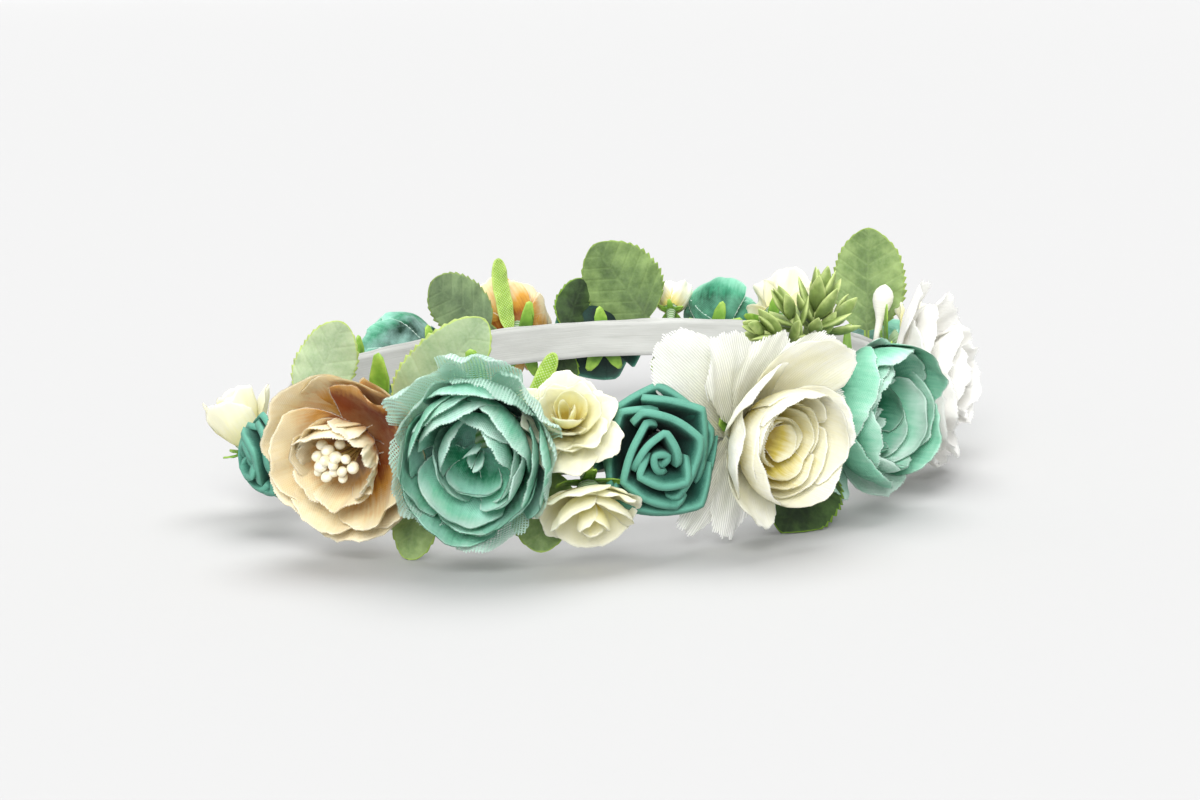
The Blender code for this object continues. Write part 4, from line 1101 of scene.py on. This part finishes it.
def make_leaf(name, finish, slot, teeth, cup, arch, roundness, number):
    foot, midrib, side, normal, length, width = leaf_frame(name)
    rng = random.Random(500 + number)
    rows, columns = 121, 17
    v = np.linspace(0, 1, rows)[:, None]
    u = np.linspace(-1, 1, columns)[None, :]
    blade = np.clip((v - 0.10) / 0.90, 0, 1)
    widest = 0.42
    below = np.clip((widest - blade) / widest, 0, 1)
    above = np.clip((blade - widest) / (1 - widest), 0, 1)
    outline = (1 - below ** 2.2) ** 0.62 * (1 - above ** (1.5 + roundness)) ** (0.95 - 0.35 * roundness)
    if not teeth:
        length *= 1.15
        # A straight woven strip with a blunt tip
        outline = 0.62 * (1 - below ** 3) ** 0.5 * (1 - above ** 5) ** 0.5
    half = np.maximum(width / 2 * outline, 0.8 * MM * (1 - blade ** 6))
    if teeth:
        saw = (blade * teeth) % 1.0
        half = half * (1 + 0.09 * (saw - 0.5) * (np.abs(u) > 0.99) * (half > 1.5 * MM))
    half = np.broadcast_to(half, (rows, columns))
    across = u * half
    spread = np.abs(across) / (width / 2)
    phase = [rng.uniform(0, 6.28) for _ in range(3)]
    lift = cup * MM * (spread ** 1.5 - 0.5)
    lift = lift + arch * MM * (np.sin(math.pi * v) - 0.4) * 0.6
    lift = lift + 0.45 * MM * np.sin(v * 14 + phase[0]) * spread
    lift = lift + 0.25 * MM * np.sin(v * 31 + u * 2 + phase[1]) * spread
    lift = lift * np.clip(v * 5, 0, 1)
    centre = np.array(foot)[None, None, :] + np.array(midrib)[None, None, :] * (v * length)[:, :, None]
    points = centre + np.array(side) * across[:, :, None] + np.array(normal) * lift[:, :, None]
    uv = np.stack([across / MM, np.broadcast_to(v * length / MM, across.shape)], axis=-1)
    edge = np.minimum(half - np.abs(across), (1 - v) * length) / MM
    tone = 0.35 + 0.45 * spread + 0.15 * v
    sheet = Sheet()
    sheet.add_grid(points, uv, tone, edge)
    item = sheet.build(name + "_cloth", finish, None, LEAF_THICKNESS)
    hold(item, slot, name)


def fleshy_leaf(sheet, start, direction, length, width, curve, rng):
    """A thick lance-shaped leaf, bent a little upward."""
    face = (curve - direction * curve.dot(direction)).normalized()
    share = [0.0, 0.05, 0.15, 0.3, 0.45, 0.6, 0.75, 0.87, 0.95, 1.0]
    shape = [0.0, 0.30, 0.55, 0.88, 1.0, 0.95, 0.72, 0.44, 0.20, 0.0]
    path = [start + direction * length * s + face * length * 0.16 * s * s for s in share]
    widths = [width / 2 * w for w in shape]
    heights = [w * 0.42 for w in widths]
    sheet.add_tube(path, widths, heights, face, 10, 0.15, 0.7, rng.uniform(-0.15, 0.15))


def make_sprig():
    """A forked succulent sprig: fleshy leaves in spirals round three short twigs."""
    rng = random.Random(42)
    angle = 263
    along, outward = hoop_axes(angle)
    foot = hoop_point(angle, BAND_DEPTH, BAND_MIDDLE + 3 * MM)
    fork = hoop_point(angle, 5 * MM, BAND_MIDDLE + 19 * MM)
    sheet = Sheet()
    # lean along the hoop, tilt outward, twig length (mm), leaves, leaf length (mm)
    twigs = ((10, 8, 13, 15, 10.5), (-70, 4, 22, 13, 9.5), (52, 6, 12, 9, 9.5), (-32, -8, 12, 9, 9.5))
    for lean, tilt, reach, count, leaf in twigs:
        lean, tilt = math.radians(lean), math.radians(tilt)
        forward = (along * math.sin(lean) + UP * math.cos(lean)) * math.cos(tilt) + outward * math.sin(tilt)
        end = fork + forward * reach * MM
        sizes = (0.0, 0.9 * MM, 0.8 * MM, 0.5 * MM, 0.0)
        path = [fork - forward * MM, fork - forward * 0.9 * MM, fork.lerp(end, 0.5), end]
        path.append(end + forward * 0.1 * MM)
        sheet.add_tube(path, sizes, sizes, outward, 8)
        side = forward.cross(outward).normalized()
        for index in range(count):
            share = index / (count - 1)
            spin = index * GOLDEN_ANGLE
            around = side * math.cos(spin) + side.cross(forward) * math.sin(spin)
            opening = math.radians(72 - 60 * share + rng.uniform(-6, 6))
            direction = (forward * math.cos(opening) + around * math.sin(opening)).normalized()
            start = fork.lerp(end, 0.25 + 0.75 * share)
            size = leaf * (0.85 + 0.25 * math.sin(math.pi * share)) * MM
            fleshy_leaf(sheet, start, direction, size, size * 0.40, forward, rng)
    sizes = (0.0, 1.1 * MM, 1.1 * MM, 1.0 * MM, 0.0)
    bend = foot.lerp(fork, 0.4) + outward * 1.5 * MM
    path = [foot, foot + outward * 0.2 * MM, bend, fork, fork + UP * 0.5 * MM]
    sheet.add_tube(path, sizes, sizes, along, 10)
    item = sheet.build("succulent_sprig_leaves", "sprig", None, weld=True)
    hold(item, "sprig_green", "succulent_sprig")


def make_white_bud():
    """A closed bud of white satin on a wrapped stem."""
    low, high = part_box("white_bud")
    middle = (low + high) / 2
    outward = hoop_axes(hoop_angle(middle))[1]
    foot = Vector((middle.x, middle.y, BAND_MIDDLE + 4 * MM)) - outward * 2 * MM
    top = Vector((middle.x, middle.y, high.z)) + outward * 1.0 * MM
    share = [0, 0.02, 0.2, 0.4, 0.52, 0.62, 0.72, 0.82, 0.9, 0.96, 1.0]
    size = [0.0, 1.0, 1.0, 1.1, 1.7, 2.5, 3.0, 3.0, 2.4, 1.4, 0.0]
    sheet = Sheet()
    sizes = [value * MM for value in size]
    sheet.add_tube([foot.lerp(top, s) for s in share], sizes, sizes, outward, 20, 0.3, 0.6)
    item = sheet.build("white_bud_satin", "bud_satin", None, weld=True)
    hold(item, "petal_white", "white_bud")


# ---------------------------------------------------------------- camera, light and floor

# The camera's lens (mm, on a 36 mm sensor) and its distance from the middle of the band
FOCAL_LENGTH = 70.8
CAMERA_DISTANCE = 0.660
# How far out the floor is level, how high it curves up beyond, and the sides of its outline
LEVEL_FLOOR = 10.0
FLOOR_RISE = 4.0
FLOOR_SIDES = 96


def aim_camera():
    """A short telephoto a little above the table, looking along the crown from its front left."""
    turn, rise, roll = math.radians(-52), math.radians(10.3), math.radians(-1.1)
    back = Vector((math.sin(turn) * math.cos(rise), -math.cos(turn) * math.cos(rise), math.sin(rise)))
    right = Vector((math.cos(turn), math.sin(turn), 0))
    top = back.cross(right)
    rolled_right = right * math.cos(roll) + top * math.sin(roll)
    rolled_top = -right * math.sin(roll) + top * math.cos(roll)
    data = bpy.data.cameras.new("camera")
    data.sensor_width = 36
    data.lens = FOCAL_LENGTH
    data.shift_x = 0.0017
    data.shift_y = -0.0108
    data.clip_start = 0.01
    camera = add_object("camera", data)
    middle = Vector((0, 0, BAND_MIDDLE))
    place = Matrix((rolled_right, rolled_top, back)).transposed().to_4x4()
    camera.matrix_world = Matrix.Translation(middle + back * CAMERA_DISTANCE) @ place
    bpy.context.scene.camera = camera


def add_sun(name, energy, direction, spread):
    """A broad, soft light coming from a direction."""
    data = bpy.data.lights.new(name, "SUN")
    data.energy = energy
    data.angle = math.radians(spread)
    lamp = add_object(name, data)
    lamp.rotation_euler = Vector(direction).to_track_quat("Z", "Y").to_euler()


def light_room():
    """White room light, a large soft lamp overhead and another in front at the upper left."""
    world = bpy.data.worlds.new("white_room")
    bpy.context.scene.world = world
    world.use_nodes = True
    world.node_tree.nodes["Background"].inputs[0].default_value = (1, 1, 1, 1)
    world.node_tree.nodes["Background"].inputs[1].default_value = 0.50
    add_sun("overhead", 2.6, (0.22, 0.06, 1.0), 46)
    add_sun("front_left", 3.3, (-1.0, -0.62, 0.80), 36)


def lay_floor():
    """A white paper sweep: a level floor that curves up far behind the crown on every side."""
    arc = [math.radians(degrees) for degrees in range(0, 91, 6)]
    profile = [(LEVEL_FLOOR + FLOOR_RISE * math.sin(a), FLOOR_RISE * (1 - math.cos(a))) for a in arc]
    points = [(0, 0, 0)]
    faces = []
    for reach, height in profile:
        for side in range(FLOOR_SIDES):
            turn = 2 * math.pi * side / FLOOR_SIDES
            points.append((reach * math.cos(turn), reach * math.sin(turn), height))
    for side in range(FLOOR_SIDES):
        after = (side + 1) % FLOOR_SIDES
        faces.append((0, 1 + side, 1 + after))
        for row in range(len(profile) - 1):
            low, high = 1 + row * FLOOR_SIDES, 1 + (row + 1) * FLOOR_SIDES
            faces.append((low + side, high + side, high + after, low + after))
    mesh = bpy.data.meshes.new("white_table")
    mesh.from_pydata(points, [], faces)
    for polygon in mesh.polygons:
        polygon.use_smooth = len(polygon.vertices) == 4
    floor = add_object("white_table", mesh)
    material, tree = new_material("white_paper_sweep")
    surface = node(tree, PRINCIPLED, Base_Color="#b8b8b8", Roughness=0.9, Specular_IOR_Level=0.1)
    mesh.materials.append(with_surface(material, surface))


def main():
    bpy.context.scene.view_settings.view_transform = "Standard"
    aim_camera()
    light_room()
    lay_floor()
    ribbon("lining_ribbon", 0.0, 11)
    ribbon("outer_ribbon", BAND_DEPTH - RIBBON_THICKNESS, 12)
    for number, row in enumerate(FLOWERS):
        make_flower(row, number)
    for number, row in enumerate(LEAVES):
        make_leaf(*row, number)
    make_sprig()
    make_white_bud()
    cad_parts["hoop_wire"].data.materials.clear()
    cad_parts["hoop_wire"].data.materials.append(MATERIALS["wire"])


main()
